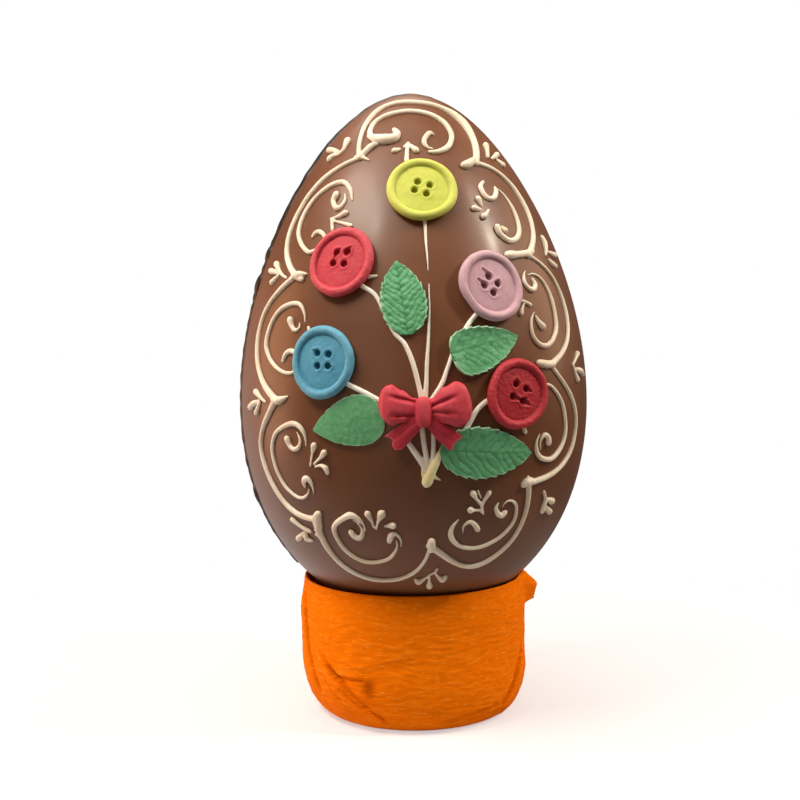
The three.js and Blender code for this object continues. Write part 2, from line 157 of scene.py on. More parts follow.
# The place on the shell that a spot of the camera's frame falls on: across and down, 800 to the side.
def seenPlace(spot, lift=0.8):
    right, up, forward = cameraWays()
    reach = studio["lens"] / studio["sensor"] * studio["frameWidth"]
    middle = studio["frameWidth"] / 2
    way = forward + right * ((spot[0] - middle) / reach) + up * ((middle - spot[1]) / reach)
    start = Vector(studio["camera"])
    near = far = search["start"]
    while far < search["stop"] and offShell(start + way * far)[0] > lift:
        near, far = far, far + search["step"]
    for _ in range(search["halvings"]):
        half = (near + far) / 2
        if offShell(start + way * half)[0] > lift:
            near = half
        else:
            far = half
    point = start + way * far
    t = offShell(point)[1]
    index = min(int(t / stepAngles[1]), eggForm["steps"] - 1)
    share = t / stepAngles[1] - index
    down = downAt[index] + share * (downAt[index + 1] - downAt[index])
    return math.degrees(math.atan2(point.x, -point.y)), down


# Lays a mesh that was made flat, in millimetres, over the shell at an anchor.
def layOnShell(piece, anchor, lift=0):
    seat, right, up, away = onShell(anchor)
    rounds = 4  # each brings the vertex nearer the shell
    for vertex in piece.data.vertices:
        flat = vertex.co
        spot = seat + right * flat.x + up * flat.y
        for _ in range(rounds):
            t = angleAtHeight(spot.z)
            radius = math.hypot(spot.x, spot.y)
            out, rise = profileNormal(t)
            normal = Vector((spot.x / radius * out, spot.y / radius * out, rise))
            spot -= away * ((radius - radiusAt(t)) * out / normal.dot(away))
        vertex.co = (spot + normal * (flat.z + lift)) * mm
    piece.data.update()


# Small helpers.

def linearColour(hexText):
    shares = [int(hexText[i:i + 2], 16) / 255 for i in (1, 3, 5)]
    return [s / 12.92 if s <= 0.04045 else ((s + 0.055) / 1.055) ** 2.4 for s in shares] + [1]


# Adds a shader node. Inputs are given as values or as other nodes' outputs.
def addNode(tree, kind, inputs=None, **settings):
    node = tree.nodes.new(kind)
    for name, value in settings.items():
        setattr(node, name, value)
    for name, value in (inputs or {}).items():
        if isinstance(value, bpy.types.NodeSocket):
            tree.links.new(value, node.inputs[name])
        else:
            node.inputs[name].default_value = value
    return node


def newMaterial(name):
    material = bpy.data.materials.new(name)
    material.use_nodes = True
    tree = material.node_tree
    shader = tree.nodes["Principled BSDF"]
    return material, tree, shader


def clearSelection():
    bpy.ops.object.select_all(action="DESELECT")


def selectOnly(piece):
    clearSelection()
    piece.select_set(True)
    bpy.context.view_layer.objects.active = piece


def applyModifier(piece, kind, **settings):
    selectOnly(piece)
    modifier = piece.modifiers.new(kind.lower(), kind)
    for name, value in settings.items():
        setattr(modifier, name, value)
    bpy.ops.object.modifier_apply(modifier=modifier.name)


def mergeAndOrient(piece, gap):
    selectOnly(piece)
    bpy.ops.object.mode_set(mode="EDIT")
    bpy.ops.mesh.select_all(action="SELECT")
    bpy.ops.mesh.remove_doubles(threshold=gap)
    bpy.ops.mesh.normals_make_consistent(inside=False)
    bpy.ops.object.mode_set(mode="OBJECT")


def placePiece(piece, name, node, material):
    piece.name = name
    piece.data.name = name
    piece.data.materials.clear()
    piece.data.materials.append(material)
    piece.data.shade_smooth()
    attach(piece, "root")
    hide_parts(node)
    print("made", name, len(piece.data.polygons), "faces")


# Uneven handwork: smooth noise of a given feature size, between about -1 and 1.
def unevenness(point, size, seed=0):
    return noise.noise(Vector(point) / size + Vector((seed * 7.3, seed * 3.1, seed * 5.7)))


# A float on every vertex that a material mixes by: on most pieces it carries painted shade and painted
# highlights.
def paintTone(piece, tones):
    attribute = piece.data.attributes.new("tone", "FLOAT", "POINT")
    attribute.data.foreach_set("value", tones)


# Finishes.

# Sets a colour ramp's stops, each a position and a colour: first its two ends, then those in between.
def setStops(colour, stops):
    ramp = colour.color_ramp
    for index, (position, hexText) in enumerate(stops):
        stop = ramp.elements[index] if index < 2 else ramp.elements.new(position)
        stop.position = position
        stop.color = linearColour(hexText)


# Joins a shader to its colour and its bump, and sets its other values.
def finishShader(tree, shader, colour, bump, values):
    tree.links.new(colour.outputs["Color"], shader.inputs["Base Color"])
    tree.links.new(bump.outputs["Normal"], shader.inputs["Normal"])
    for name, value in values.items():
        shader.inputs[name].default_value = value


# The size of a pattern in millimetres, as a noise scale on metre coordinates.
def patternScale(size):
    return 1 / (size * mm)


# Tempered milk chocolate, cast in a polished mould: a satin brown with a soft broad gloss, faintly clouded.
def makeMilkChocolate():
    material, tree, shader = newMaterial("milk chocolate")
    place = addNode(tree, "ShaderNodeTexCoord").outputs["Object"]
    cloud = addNode(tree, "ShaderNodeTexNoise", {"Vector": place, "Scale": patternScale(45), "Detail": 3})
    grain = addNode(tree, "ShaderNodeTexNoise", {"Vector": place, "Scale": patternScale(1.6), "Detail": 4})
    colour = addNode(tree, "ShaderNodeValToRGB", {"Fac": cloud.outputs["Fac"]})
    setStops(colour, [(0.3, "#643b21"), (0.7, "#734629")])
    sheen = addNode(tree, "ShaderNodeMapRange", {
        "Value": cloud.outputs["Fac"], "From Min": 0.3, "From Max": 0.7, "To Min": 0.42, "To Max": 0.5})
    bump = addNode(tree, "ShaderNodeBump", {
        "Height": grain.outputs["Fac"], "Strength": 0.12, "Distance": 0.1 * mm})
    tree.links.new(sheen.outputs["Result"], shader.inputs["Roughness"])
    finishShader(tree, shader, colour, bump, {
        "IOR": 1.46, "Specular IOR Level": 0.5, "Coat Weight": 0.2, "Coat Roughness": 0.2, "Coat IOR": 1.46})
    return material


# Melted chocolate that welded the halves and set untempered: a glossy dark brown, painted nearly black
# where it stands thick off the shell, in part as painted shade of the seam's gap.
def makeWeldChocolate():
    material, tree, shader = newMaterial("welded dark chocolate")
    place = addNode(tree, "ShaderNodeTexCoord").outputs["Object"]
    tone = addNode(tree, "ShaderNodeAttribute", attribute_name="tone").outputs["Fac"]
    lumps = addNode(tree, "ShaderNodeTexNoise", {"Vector": place, "Scale": patternScale(3), "Detail": 3})
    spread = addNode(tree, "ShaderNodeMapRange", {
        "Value": lumps.outputs["Fac"], "From Min": 0.3, "From Max": 0.7, "To Min": -0.35, "To Max": 0.35})
    level = addNode(tree, "ShaderNodeMath", {0: tone, 1: spread.outputs["Result"]}, operation="ADD")
    colour = addNode(tree, "ShaderNodeValToRGB", {"Fac": level.outputs["Value"]})
    setStops(colour, [(0, "#54321f"), (0.8, "#1d110c")])
    bump = addNode(tree, "ShaderNodeBump", {
        "Height": lumps.outputs["Fac"], "Strength": 0.3, "Distance": 0.4 * mm})
    finishShader(tree, shader, colour, bump, {"Roughness": 0.4, "IOR": 1.46, "Specular IOR Level": 0.35})
    return material


# Royal icing, piped and dried: creamy and smooth, with a soft sheen and a little light inside its thin edges.
def makeIcingFinish(name, pale, deep):
    material, tree, shader = newMaterial(name)
    place = addNode(tree, "ShaderNodeTexCoord").outputs["Object"]
    drift = addNode(tree, "ShaderNodeTexNoise", {"Vector": place, "Scale": patternScale(14), "Detail": 2})
    grain = addNode(tree, "ShaderNodeTexNoise", {"Vector": place, "Scale": patternScale(0.9), "Detail": 2})
    colour = addNode(tree, "ShaderNodeValToRGB", {"Fac": drift.outputs["Fac"]})
    setStops(colour, [(0.32, deep), (0.62, pale)])
    bump = addNode(tree, "ShaderNodeBump", {
        "Height": grain.outputs["Fac"], "Strength": 0.15, "Distance": 0.15 * mm})
    finishShader(tree, shader, colour, bump, {
        "Roughness": 0.42, "IOR": 1.46, "Subsurface Weight": 0.25, "Subsurface Radius": (1.2, 0.9, 0.5),
        "Subsurface Scale": 1 * mm})
    return material


# Sugar paste, rolled and pressed by hand: matt and powdery, with painted shade, painted highlights and
# paler edges mixed in by each piece's tone.
def makePaste(name, body, paleEdgeAndHighlight, deep):
    material, tree, shader = newMaterial(name)
    place = addNode(tree, "ShaderNodeTexCoord").outputs["Object"]
    tone = addNode(tree, "ShaderNodeAttribute", attribute_name="tone").outputs["Fac"]
    mottle = addNode(tree, "ShaderNodeTexNoise", {"Vector": place, "Scale": patternScale(2.2), "Detail": 4})
    grain = addNode(tree, "ShaderNodeTexNoise", {"Vector": place, "Scale": patternScale(0.55), "Detail": 3})
    spread = addNode(tree, "ShaderNodeMapRange", {
        "Value": mottle.outputs["Fac"], "From Min": 0.3, "From Max": 0.7, "To Min": -0.05, "To Max": 0.05})
    level = addNode(tree, "ShaderNodeMath", {0: tone, 1: spread.outputs["Result"]}, operation="ADD")
    colour = addNode(tree, "ShaderNodeValToRGB", {"Fac": level.outputs["Value"]})
    # The deep colour is painted shade; the pale one is painted highlight and the paler edges.
    setStops(colour, [(0.05, deep), (0.95, paleEdgeAndHighlight), (0.5, body)])
    bump = addNode(tree, "ShaderNodeBump", {
        "Height": grain.outputs["Fac"], "Strength": 0.35, "Distance": 0.12 * mm})
    finishShader(tree, shader, colour, bump, {
        "Roughness": 0.62, "IOR": 1.45, "Subsurface Weight": 0.15, "Subsurface Radius": (1, 0.6, 0.5),
        "Subsurface Scale": 0.8 * mm})
    return material


# Crepe paper: dyed a strong orange right through, quite matt, with painted highlights along its crinkles
# and painted shade in its creases and inside.
def makeCrepePaper():
    material, tree, shader = newMaterial("orange crepe paper")
    place = addNode(tree, "ShaderNodeTexCoord").outputs["Object"]
    tone = addNode(tree, "ShaderNodeAttribute", attribute_name="tone").outputs["Fac"]
    stretched = addNode(tree, "ShaderNodeMapping", {"Vector": place, "Scale": (0.8, 0.8, 4)})
    fibreAndGlint = addNode(tree, "ShaderNodeTexNoise", {
        "Vector": stretched.outputs["Vector"], "Scale": patternScale(2.6), "Detail": 2})
    # Painted highlights: the crinkles' raised streaks are mixed paler.
    spread = addNode(tree, "ShaderNodeMapRange", {
        "Value": fibreAndGlint.outputs["Fac"], "From Min": 0.56, "From Max": 0.8, "To Min": 0, "To Max": 0.42})
    level = addNode(tree, "ShaderNodeMath", {0: tone, 1: spread.outputs["Result"]}, operation="ADD")
    colour = addNode(tree, "ShaderNodeValToRGB", {"Fac": level.outputs["Value"]})
    # The deep end is painted shade in creases and inside the collar, and also the stain's colour.
    setStops(colour, [(0, "#a84400"), (1, "#ffa83c"), (0.5, "#fb7c00")])
    bump = addNode(tree, "ShaderNodeBump", {
        "Height": fibreAndGlint.outputs["Fac"], "Strength": 0.3, "Distance": 0.2 * mm})
    finishShader(tree, shader, colour, bump, {"Roughness": 0.9, "Specular IOR Level": 0.04})
    return material


milkChocolate = makeMilkChocolate()
weldChocolate = makeWeldChocolate()
whiteIcing = makeIcingFinish("white icing", "#eee6d6", "#dfd2bb")
stemIcing = makeIcingFinish("stem icing", "#f8f5ee", "#eae3d3")
stemEndIcing = makeIcingFinish("yellowed stem end icing", "#f2efcc", "#e9e0a8")
print("finishes made")


# The shell and its weld.

shellForm = {"segments": 256, "rings": 160, "waver": 0.1, "waverSize": 34, "inset": 0.06}


def makeShell():
    clearSelection()
    bpy.ops.mesh.primitive_uv_sphere_add(
        segments=shellForm["segments"], ring_count=shellForm["rings"], radius=halfLength * mm)
    shell = bpy.context.object
    for vertex in shell.data.vertices:
        t = vertex.co.angle(Vector((0, 0, 1)))
        azimuth = math.atan2(vertex.co.x, -vertex.co.y)
        outward = Vector((math.sin(azimuth), -math.cos(azimuth), 0))
        point = outward * radiusAt(t) + Vector((0, 0, heightAt(t)))
        waver = shellForm["waver"] * unevenness(point, shellForm["waverSize"]) - shellForm["inset"]
        vertex.co = (point + outward * min(0, waver) * math.sin(t)) * mm
    placePiece(shell, "egg_shell", "egg", milkChocolate)


# Runs of icing or chocolate, each a list of (centre, radius) in millimetres, melted into one mesh.
def pipeRuns(runs, voxel, smoothing):
    clearSelection()
    bpy.ops.curve.primitive_nurbs_path_add()
    piped = bpy.context.object
    curve = piped.data
    curve.splines.clear()
    curve.dimensions = "3D"
    curve.bevel_depth = mm
    curve.bevel_resolution = 3
    curve.use_fill_caps = True
    for run in runs:
        spline = curve.splines.new("POLY")
        spline.points.add(len(run) - 1)
        for point, (centre, radius) in zip(spline.points, run):
            point.co = (*(centre * mm), 1)
            point.radius = radius
    selectOnly(piped)
    bpy.ops.object.convert(target="MESH")
    applyModifier(piped, "REMESH", mode="VOXEL", voxel_size=voxel * mm)
    applyModifier(piped, "SMOOTH", factor=0.5, iterations=smoothing)
    return piped


# The weld's lumps on the left, from the tip down, and on the right: millimetres down the shell, half length
# and how far each stands out.
weld = {
    "around": -79, "half": 3.2, "thin": 0.8, "reach": 250, "step": 0.7,
    # how far it stands out more near the tip, and from where to where down the shell
    "shoulder": {"rise": 0.5, "from": 28, "to": 108},
    "left": [(56, 3, 0.9), (70, 3, 1), (79, 2.6, 1), (87, 2.4, 1), (96, 2.6, 1.3), (101.5, 3.4, 1.7),
             (108.5, 2, 1.1), (116, 4.4, 1.9), (121.5, 2.4, 1.3), (127, 2.6, 1), (134, 2.6, 1),
             (139, 2, 0.9), (146, 3, 1), (153, 3, 0.9), (158, 2.4, 1), (167, 3.4, 0.9), (176, 4, 0.8),
             (186, 3.6, 1), (197, 3.4, 1.1), (205, 3, 0.9), (213, 4.6, 1.5), (223, 3.6, 1), (231, 3.4, 1),
             (239, 3, 0.8)],
    "right": [(36, 4, 0.9), (62, 3, 0.8), (84, 4, 0.9), (107, 2.8, 1.5), (112, 2.4, 1), (138, 5, 0.8),
              (165, 6, 0.9), (205, 7, 0.9), (228, 4, 0.9)],
}


def makeWeldBead():
    run = []
    shoulder = weld["shoulder"]
    steps = int(2 * weld["reach"] / weld["step"])
    for i in range(steps + 1):
        along = weld["reach"] * (1 - 2 * i / steps)
        side = "left" if along >= 0 else "right"
        place = (weld["around"] + (0 if along >= 0 else 180), abs(along))
        point, right, up, normal = onShell(place)
        crest = weld["thin"] * (1 + 0.4 * unevenness((along, 9, 0), 5))
        fadeIn = smoothStep((abs(along) - shoulder["from"]) / 20)
        crest += shoulder["rise"] * fadeIn * smoothStep((shoulder["to"] - abs(along)) / 25)
        for down, half, rise in weld[side]:
            crest = max(crest, rise * math.sqrt(max(0, 1 - ((abs(along) - down) / half) ** 2)))
        sideways = 0.6 * unevenness((along, 0, 5), 9)
        half = weld["half"] * (0.9 + 0.1 * crest)
        run.append((point + normal * (crest - half) + right * sideways, half))
    bead = pipeRuns([run], 0.4, 3)
    # Painted shade of the seam's gap, in part: the bead turns near black where it stands off the shell.
    tones = []
    for vertex in bead.data.vertices:
        point = vertex.co / mm
        blotch = 0.3 * unevenness(point, 4, 31)
        tones.append(clamp(smoothStep(offShell(point)[0] / 0.2) + blotch))
    paintTone(bead, tones)
    placePiece(bead, "weld_bead", "egg", weldChocolate)


makeShell()
makeWeldBead()
print("shell and weld made")


# Piped icing.

icing = {
    "spacing": 0.6, "voxel": 0.32, "smoothing": 3, "wobble": 0.12, "swell": 0.07, "frameRise": 0.62,
    "strokeRise": 0.66, "stemRise": 0.66,
    # the steps that a run's end, its widths, a lobe's half and a stroke's stretch are drawn in
    "endSteps": 4, "widthSteps": 32, "lobeSteps": 60, "stretchSteps": 24,
}

# The scalloped frame, lobe by lobe from the upper left down, across the foot and up the right side.
# Each lobe leaves its meeting point, passes its crown, the furthest point out, and ends at the next
# meeting. leave and arrive are its angles to the straight line between the two meetings, and widths
# are the stroke's in millimetres, evenly along it.
lobes = [
    {"meeting": (-30, 57), "crown": (-58.5, 86), "leave": 62, "arrive": 66,
     "widths": (2.2, 2.5, 2.4, 2.5, 3.1)},
    {"meeting": (-45.5, 112.5), "crown": (-61.5, 138), "leave": 52, "arrive": 62,
     "widths": (2.7, 2.3, 2.3, 2.4, 3.3)},
    {"meeting": (-47.5, 165.5), "crown": (-57, 192.5), "leave": 50, "arrive": 84,
     "widths": (3, 2.2, 2.3, 2.4, 2.8)},
    {"meeting": (-36, 216.5), "crown": (-20, 248), "leave": 72, "arrive": 88,
     "widths": (3.6, 2.2, 2.2, 1.9, 1.4)},
    {"meeting": (4.5, 228), "crown": (28.5, 239), "leave": 66, "arrive": 70,
     "widths": (3.3, 2.4, 2.2, 2.1, 2.6)},
    {"meeting": (38, 201.5), "crown": (61, 183.5), "leave": 72, "arrive": 56,
     "widths": (2.9, 2.3, 2.1, 2, 1.8)},
    {"meeting": (46.7, 152), "crown": (62.3, 130), "leave": 66, "arrive": 74,
     "widths": (3, 2.3, 2, 1.8, 1.6)},
    {"meeting": (46.5, 104.5), "crown": (58.3, 79.5), "leave": 60, "arrive": 76,
     "widths": (3.1, 2.4, 2.3, 2.2, 2.2)},
    {"meeting": (35.5, 60), "crown": (-3, 20.5), "leave": 102, "arrive": 104,
     "widths": (3, 3.3, 3.9, 2.7, 2.5, 2.5, 2.5, 2.4, 2.4)},
]

# Strokes laid after the frame. Each is the spots of the camera's frame that it passes and its width in
# millimetres at each of them. First the blobs where two lobes meet.
blobs = [
    ([(359, 158), (365, 152), (371, 147), (377, 144)], (2.8, 2.8, 3, 2)),
    ([(356, 158), (362, 158), (368, 160)], (2.4, 2, 0.9)),
    ([(294, 276), (299, 275.5), (303, 274.5), (306, 274)], (3.2, 3.9, 2.6, 0.9)),
    ([(296, 278), (301, 279.5)], (2.4, 2.6)),
    ([(274, 400), (278, 400.5), (282, 399), (286.5, 396.5)], (3.4, 4, 2.6, 0.9)),
    ([(315, 517), (317.5, 514)], (3.2, 3.4)),
    ([(317.5, 516), (318, 525), (318.5, 534)], (3.4, 3.8, 3)),
    ([(316, 530), (313, 530)], (1.4, 0.8)),
    ([(317, 533), (314, 535)], (1.4, 0.8)),
    ([(431, 549), (431.5, 545), (431.5, 541.5)], (3, 3.8, 3.4)),
    ([(531, 481), (527, 482), (524.5, 484)], (3.6, 4.2, 3.2)),
    ([(530, 480), (529, 476)], (2, 1)),
    ([(553, 364), (548, 364.5), (543, 364), (540, 363.5)], (3.2, 3.6, 3.7, 3.3)),
    ([(532, 252), (526, 254), (518, 255), (511, 255.5), (508.5, 255.5)], (3, 3, 3.2, 4, 3.6)),
    ([(474, 161), (471, 163.5), (467, 165.5), (465, 166)], (3, 3.8, 3.9, 3.5)),
]

# The scrolls and the commas curled inside them.
scrolls = [
    ([(394, 130.5), (397, 134), (394, 138.5), (385, 140.5), (376, 140), (369.5, 137)],
     (2.4, 3, 4.2, 5, 4.4, 3)),
    ([(369.5, 137), (369.5, 130), (375, 122), (388, 115.5), (409, 111.8), (430, 115), (444, 122.5),
      (451.5, 133), (451.5, 142), (447, 148.5), (438, 152), (430, 151.8)],
     (2.8, 2.3, 2.3, 2.4, 2.5, 2.4, 2.4, 2.4, 2.5, 2.5, 2.2, 1.6)),
    ([(434, 134.5), (430, 133.5), (425.5, 138), (424.5, 143), (428, 147.5), (433, 148.5)],
     (1.2, 2.4, 2.4, 2.4, 1.6, 0.8)),
    ([(351, 200), (350, 191), (346, 184.5), (341, 182.5), (332, 185), (320, 193), (310, 204), (302, 218),
      (298, 232), (299.5, 242), (304, 249.5), (309, 252.5), (316, 250)],
     (1, 1.8, 2.2, 2.3, 2.3, 2.2, 2.2, 2.2, 2.3, 2.2, 2, 2, 1.8)),
    ([(335.5, 195.5), (332.5, 202), (336, 208.5), (341, 206), (344.5, 200), (344, 194)],
     (3.2, 2.4, 2.4, 1.8, 1.6, 1)),
    ([(312, 236.5), (315, 233), (319, 232), (323, 235), (325, 240)], (1.6, 2, 2.2, 2, 1.6)),
    ([(304, 322), (303.5, 314), (301, 307), (297, 303.8), (290, 304.3), (281, 309), (273, 319),
      (267.5, 333), (265.5, 345), (268, 356), (274, 366), (282, 372), (290, 373), (297, 369)],
     (0.7, 1.2, 1.7, 2.1, 2.2, 2.2, 2.1, 2.1, 2.1, 2, 1.9, 1.8, 1.6, 1.2)),
    ([(290, 320.5), (291, 326), (294, 330.5), (298, 328), (298.5, 323)], (3.1, 2.2, 2, 1.3, 0.7)),
    ([(282, 361), (285, 354), (290, 351), (296, 353)], (1.6, 2.1, 2.3, 2.2)),
    ([(305, 446), (304, 436), (300, 428), (293, 423.7), (284, 426), (275, 433), (271.5, 445), (272.5, 458),
      (277, 473), (285, 487), (295, 496), (302, 498), (307, 494), (308, 489)],
     (0.7, 1.4, 2.2, 2.5, 2.2, 1.9, 1.8, 1.8, 1.7, 1.6, 1.5, 1.5, 1.1, 0.7)),
    ([(286.5, 439), (289, 446), (293.5, 449.5), (298, 447), (299, 440), (295.5, 432)],
     (2.8, 2.1, 2.1, 1.9, 1.2, 0.6)),
    ([(304, 487), (303, 482), (305, 478.5), (309, 481), (312, 488), (312.5, 494)],
     (1.1, 2.2, 3, 1.8, 1.1, 0.6)),
    ([(365, 531), (363, 525), (358, 519), (350, 515), (343, 518), (336, 523), (333.5, 529), (337, 539),
      (344, 549), (354, 557), (365, 561.5), (377, 562), (388, 559), (394, 553), (397, 546), (396, 541)],
     (0.6, 1, 2, 3.2, 2.6, 2.5, 2.3, 2.1, 2, 1.9, 1.9, 1.8, 1.7, 1.5, 1.1, 0.7)),
    ([(351, 532), (354, 536), (359, 538), (362, 534), (361, 528), (356, 522), (352, 520.5)],
     (2.7, 2.6, 2.6, 2.2, 1.2, 0.9, 0.6)),
    ([(389.5, 540.5), (391, 535.5), (394, 533.5), (398, 536), (401, 541), (401, 547)],
     (2.4, 2.8, 2, 1.3, 1, 0.6)),
    ([(459, 520), (453, 527), (451, 534), (454, 541), (462, 546.5), (473, 548), (485, 545.5), (498, 539),
      (508, 530), (515, 520), (517.5, 509), (516, 503), (511, 500.5), (506, 503), (504, 507)],
     (0.8, 1.8, 2.5, 2.4, 2, 1.9, 1.8, 1.8, 1.8, 1.7, 1.5, 1.4, 1.1, 0.8, 0.5)),
    ([(499, 503.5), (496.5, 508.5), (499, 514), (502, 515.5), (505.5, 512.5)], (0.8, 1.8, 2.5, 2.6, 2.3)),
    ([(463.5, 533), (464, 527), (467, 523.5), (471, 522), (475.5, 525), (478, 529)],
     (0.6, 1, 1.5, 1.9, 2.3, 2.5)),
    ([(541, 434), (537.5, 442), (537.5, 451), (541, 457), (547, 459.5), (553, 458), (560, 450),
      (564.5, 440), (566.5, 428), (565.5, 415), (563, 403), (558, 393), (552, 386), (546, 384)],
     (0.6, 1.3, 2, 2.2, 2.3, 2.3, 2.2, 2, 1.9, 1.9, 1.8, 1.7, 1.5, 1.3)),
    ([(541.5, 450), (541.5, 442), (543.5, 436.5), (546.5, 434.5), (549, 438), (549, 442.5)],
     (0.6, 1, 1.7, 2.1, 2.6, 2.8)),
    ([(529, 275), (534, 274), (541, 278), (548, 288), (553, 301), (556, 315), (557, 328), (554.5, 338),
      (549, 345), (543, 345.5), (537, 341), (533, 333), (532, 322), (534, 315), (536, 312)],
     (0.6, 1, 1.3, 1.6, 1.8, 1.9, 2, 2.2, 2.4, 2.3, 1.9, 1.8, 1.4, 0.9, 0.5)),
    ([(533.5, 279), (536, 285), (534, 290), (529.5, 288), (525.5, 282), (525, 275), (526.5, 271)],
     (1.3, 2.2, 2.5, 2, 1.8, 1.2, 0.6)),
    ([(537, 316), (539, 321), (543, 326.5)], (1, 2, 3.1)),
    ([(499, 189), (506, 196), (513, 207), (518, 219), (520, 230), (518, 238), (512, 241), (506, 238.5),
      (500, 233), (498, 228)], (0.8, 1.1, 1.5, 1.9, 2.2, 2.4, 2.4, 2.4, 2.6, 3.1)),
    ([(484, 182), (481.5, 187), (485, 195), (490, 199), (495, 198), (497, 192), (496, 187.5)],
     (1.5, 2.2, 2.3, 2.5, 2.4, 2.1, 1.2)),
    ([(503, 227), (506, 230.5)], (1.2, 2.5)),
]

# The flourishes, mostly three drops each on fine tails, outside the frame's meetings and inside some lobes:
# one stroke for each drop.
flourishes = [
    ([(339, 154), (343, 149.5), (346.5, 142)], (2, 2, 3.5)),
    ([(339, 153.5), (333, 151), (328.5, 151)], (2, 2.4, 3.2)),
    ([(337, 155), (332, 156.5), (329, 159.5)], (1.4, 2.4, 3.1)),
    ([(285, 278), (281, 275), (278, 270), (276, 264.5)], (1.2, 1.6, 1.8, 3)),
    ([(277, 273), (270.5, 271.5)], (1.5, 3)),
    ([(277, 276), (271.5, 282.5)], (1.6, 2.8)),
    ([(264, 402), (260, 398), (255.5, 392)], (1.3, 1.8, 2.9)),
    ([(258, 401), (253, 403.5), (250, 407)], (1.6, 2.8, 3)),
    ([(258.5, 403), (256, 412.5)], (1.6, 2.8)),
    ([(309, 531), (300, 526), (292, 519.5)], (2, 2, 2.5)),
    ([(304, 532), (298, 538)], (1.6, 3)),
    ([(304.5, 532), (306, 538), (311, 540.5)], (1.6, 3, 1.5)),
    ([(437.5, 569), (435, 572.5), (430, 575), (426, 578), (422, 580), (418.5, 581.5), (415.5, 579.5)],
     (1.2, 1.2, 1.1, 1.1, 1.9, 3, 1.4)),
    ([(429.5, 575.5), (429.5, 581), (429.5, 585.5)], (1, 1.3, 3.1)),
    ([(435.5, 573), (439, 577), (443, 579.5), (446, 576.5)], (1, 1.7, 3, 1.9)),
    ([(545, 491.5), (546.5, 498), (545, 504), (543, 510.5)], (1.4, 1.6, 2.4, 2.6)),
    ([(547, 499), (552, 500.5)], (1.6, 3.3)),
    ([(545.5, 506), (550, 511)], (1.6, 3)),
    ([(578, 353.5), (577, 358), (574, 365)], (2.6, 1.6, 1.2)),
    ([(574, 364), (576, 372), (578, 379.5)], (1.2, 1.6, 2.6)),
    ([(576, 369), (581, 371), (583.5, 374.5)], (1.4, 2.8, 2.2)),
    ([(543, 238), (545.5, 244), (547, 251), (547, 255)], (2.4, 2.9, 2, 1.4)),
    ([(549, 252), (555, 255.5)], (1.4, 3)),
    ([(550, 260), (553, 264), (556, 266.5)], (1.4, 2.6, 2.6)),
    ([(489, 157), (488.5, 151), (487, 146.5)], (1.8, 2.2, 3.1)),
    ([(493, 159), (498, 155.5)], (1.4, 2.9)),
    ([(499, 161), (503.5, 165.5)], (1.8, 2.9)),
    ([(406.5, 161), (407, 151), (408, 143.5)], (2.2, 1.8, 1.6)),
    ([(408, 144), (404, 147)], (1.6, 1.2)),
    ([(410, 145.5), (416, 150.5)], (1.6, 2.9)),
    ([(399.5, 149.5), (394.5, 151)], (1.4, 2.6)),
    ([(330, 219), (338, 216.5), (344.5, 213.5)], (1.2, 1.7, 2.7)),
    ([(333, 221), (342, 223.5), (350, 226)], (1.2, 1.6, 2)),
    ([(331.5, 221), (332, 230)], (1.8, 1.8)),
    ([(309.5, 466), (311.5, 454), (313.5, 446)], (1, 1.2, 3)),
    ([(313, 464), (319, 458.5), (323.5, 453)], (1, 1.4, 3.1)),
    ([(314.5, 467), (320, 465.5), (325, 468), (327, 472.5)], (1, 1.4, 2.4, 2)),
    ([(373.5, 527.5), (371, 521), (367.5, 514)], (0.9, 1.4, 3)),
    ([(376, 529), (378, 521), (381.5, 514)], (1, 1.4, 3.7)),
    ([(384.5, 526.5), (388, 525.5), (392.5, 525.5)], (0.9, 1.8, 3)),
    ([(484, 513), (482, 505), (477, 499), (473.5, 493.5)], (0.8, 1.4, 1.4, 3)),
    ([(482, 509), (484, 502), (489.5, 493)], (1.2, 1.4, 2.2)),
    ([(484, 514), (480, 510.5), (475, 510.5), (471, 510)], (1, 1.2, 1.2, 3)),
    ([(478.5, 491), (481.5, 498)], (1, 0.8)),
    ([(483, 206), (479, 199.5)], (1, 2.8)),
    ([(482, 210), (475, 208.5)], (1, 2.8)),
    ([(489.5, 210), (487, 214), (484.5, 216.5)], (1.2, 1.8, 3.1)),
    ([(520, 300.5), (526, 302), (531, 305)], (1.4, 1.6, 1.8)),
    ([(525, 304), (523, 309), (522, 313.5)], (1, 1.6, 2.4)),
    ([(524, 426), (526, 432)], (1.8, 1.8)),
    ([(368, 277), (376, 276)], (1.8, 1.2)),
    ([(309, 333), (308, 328)], (1.6, 1.6)),
]

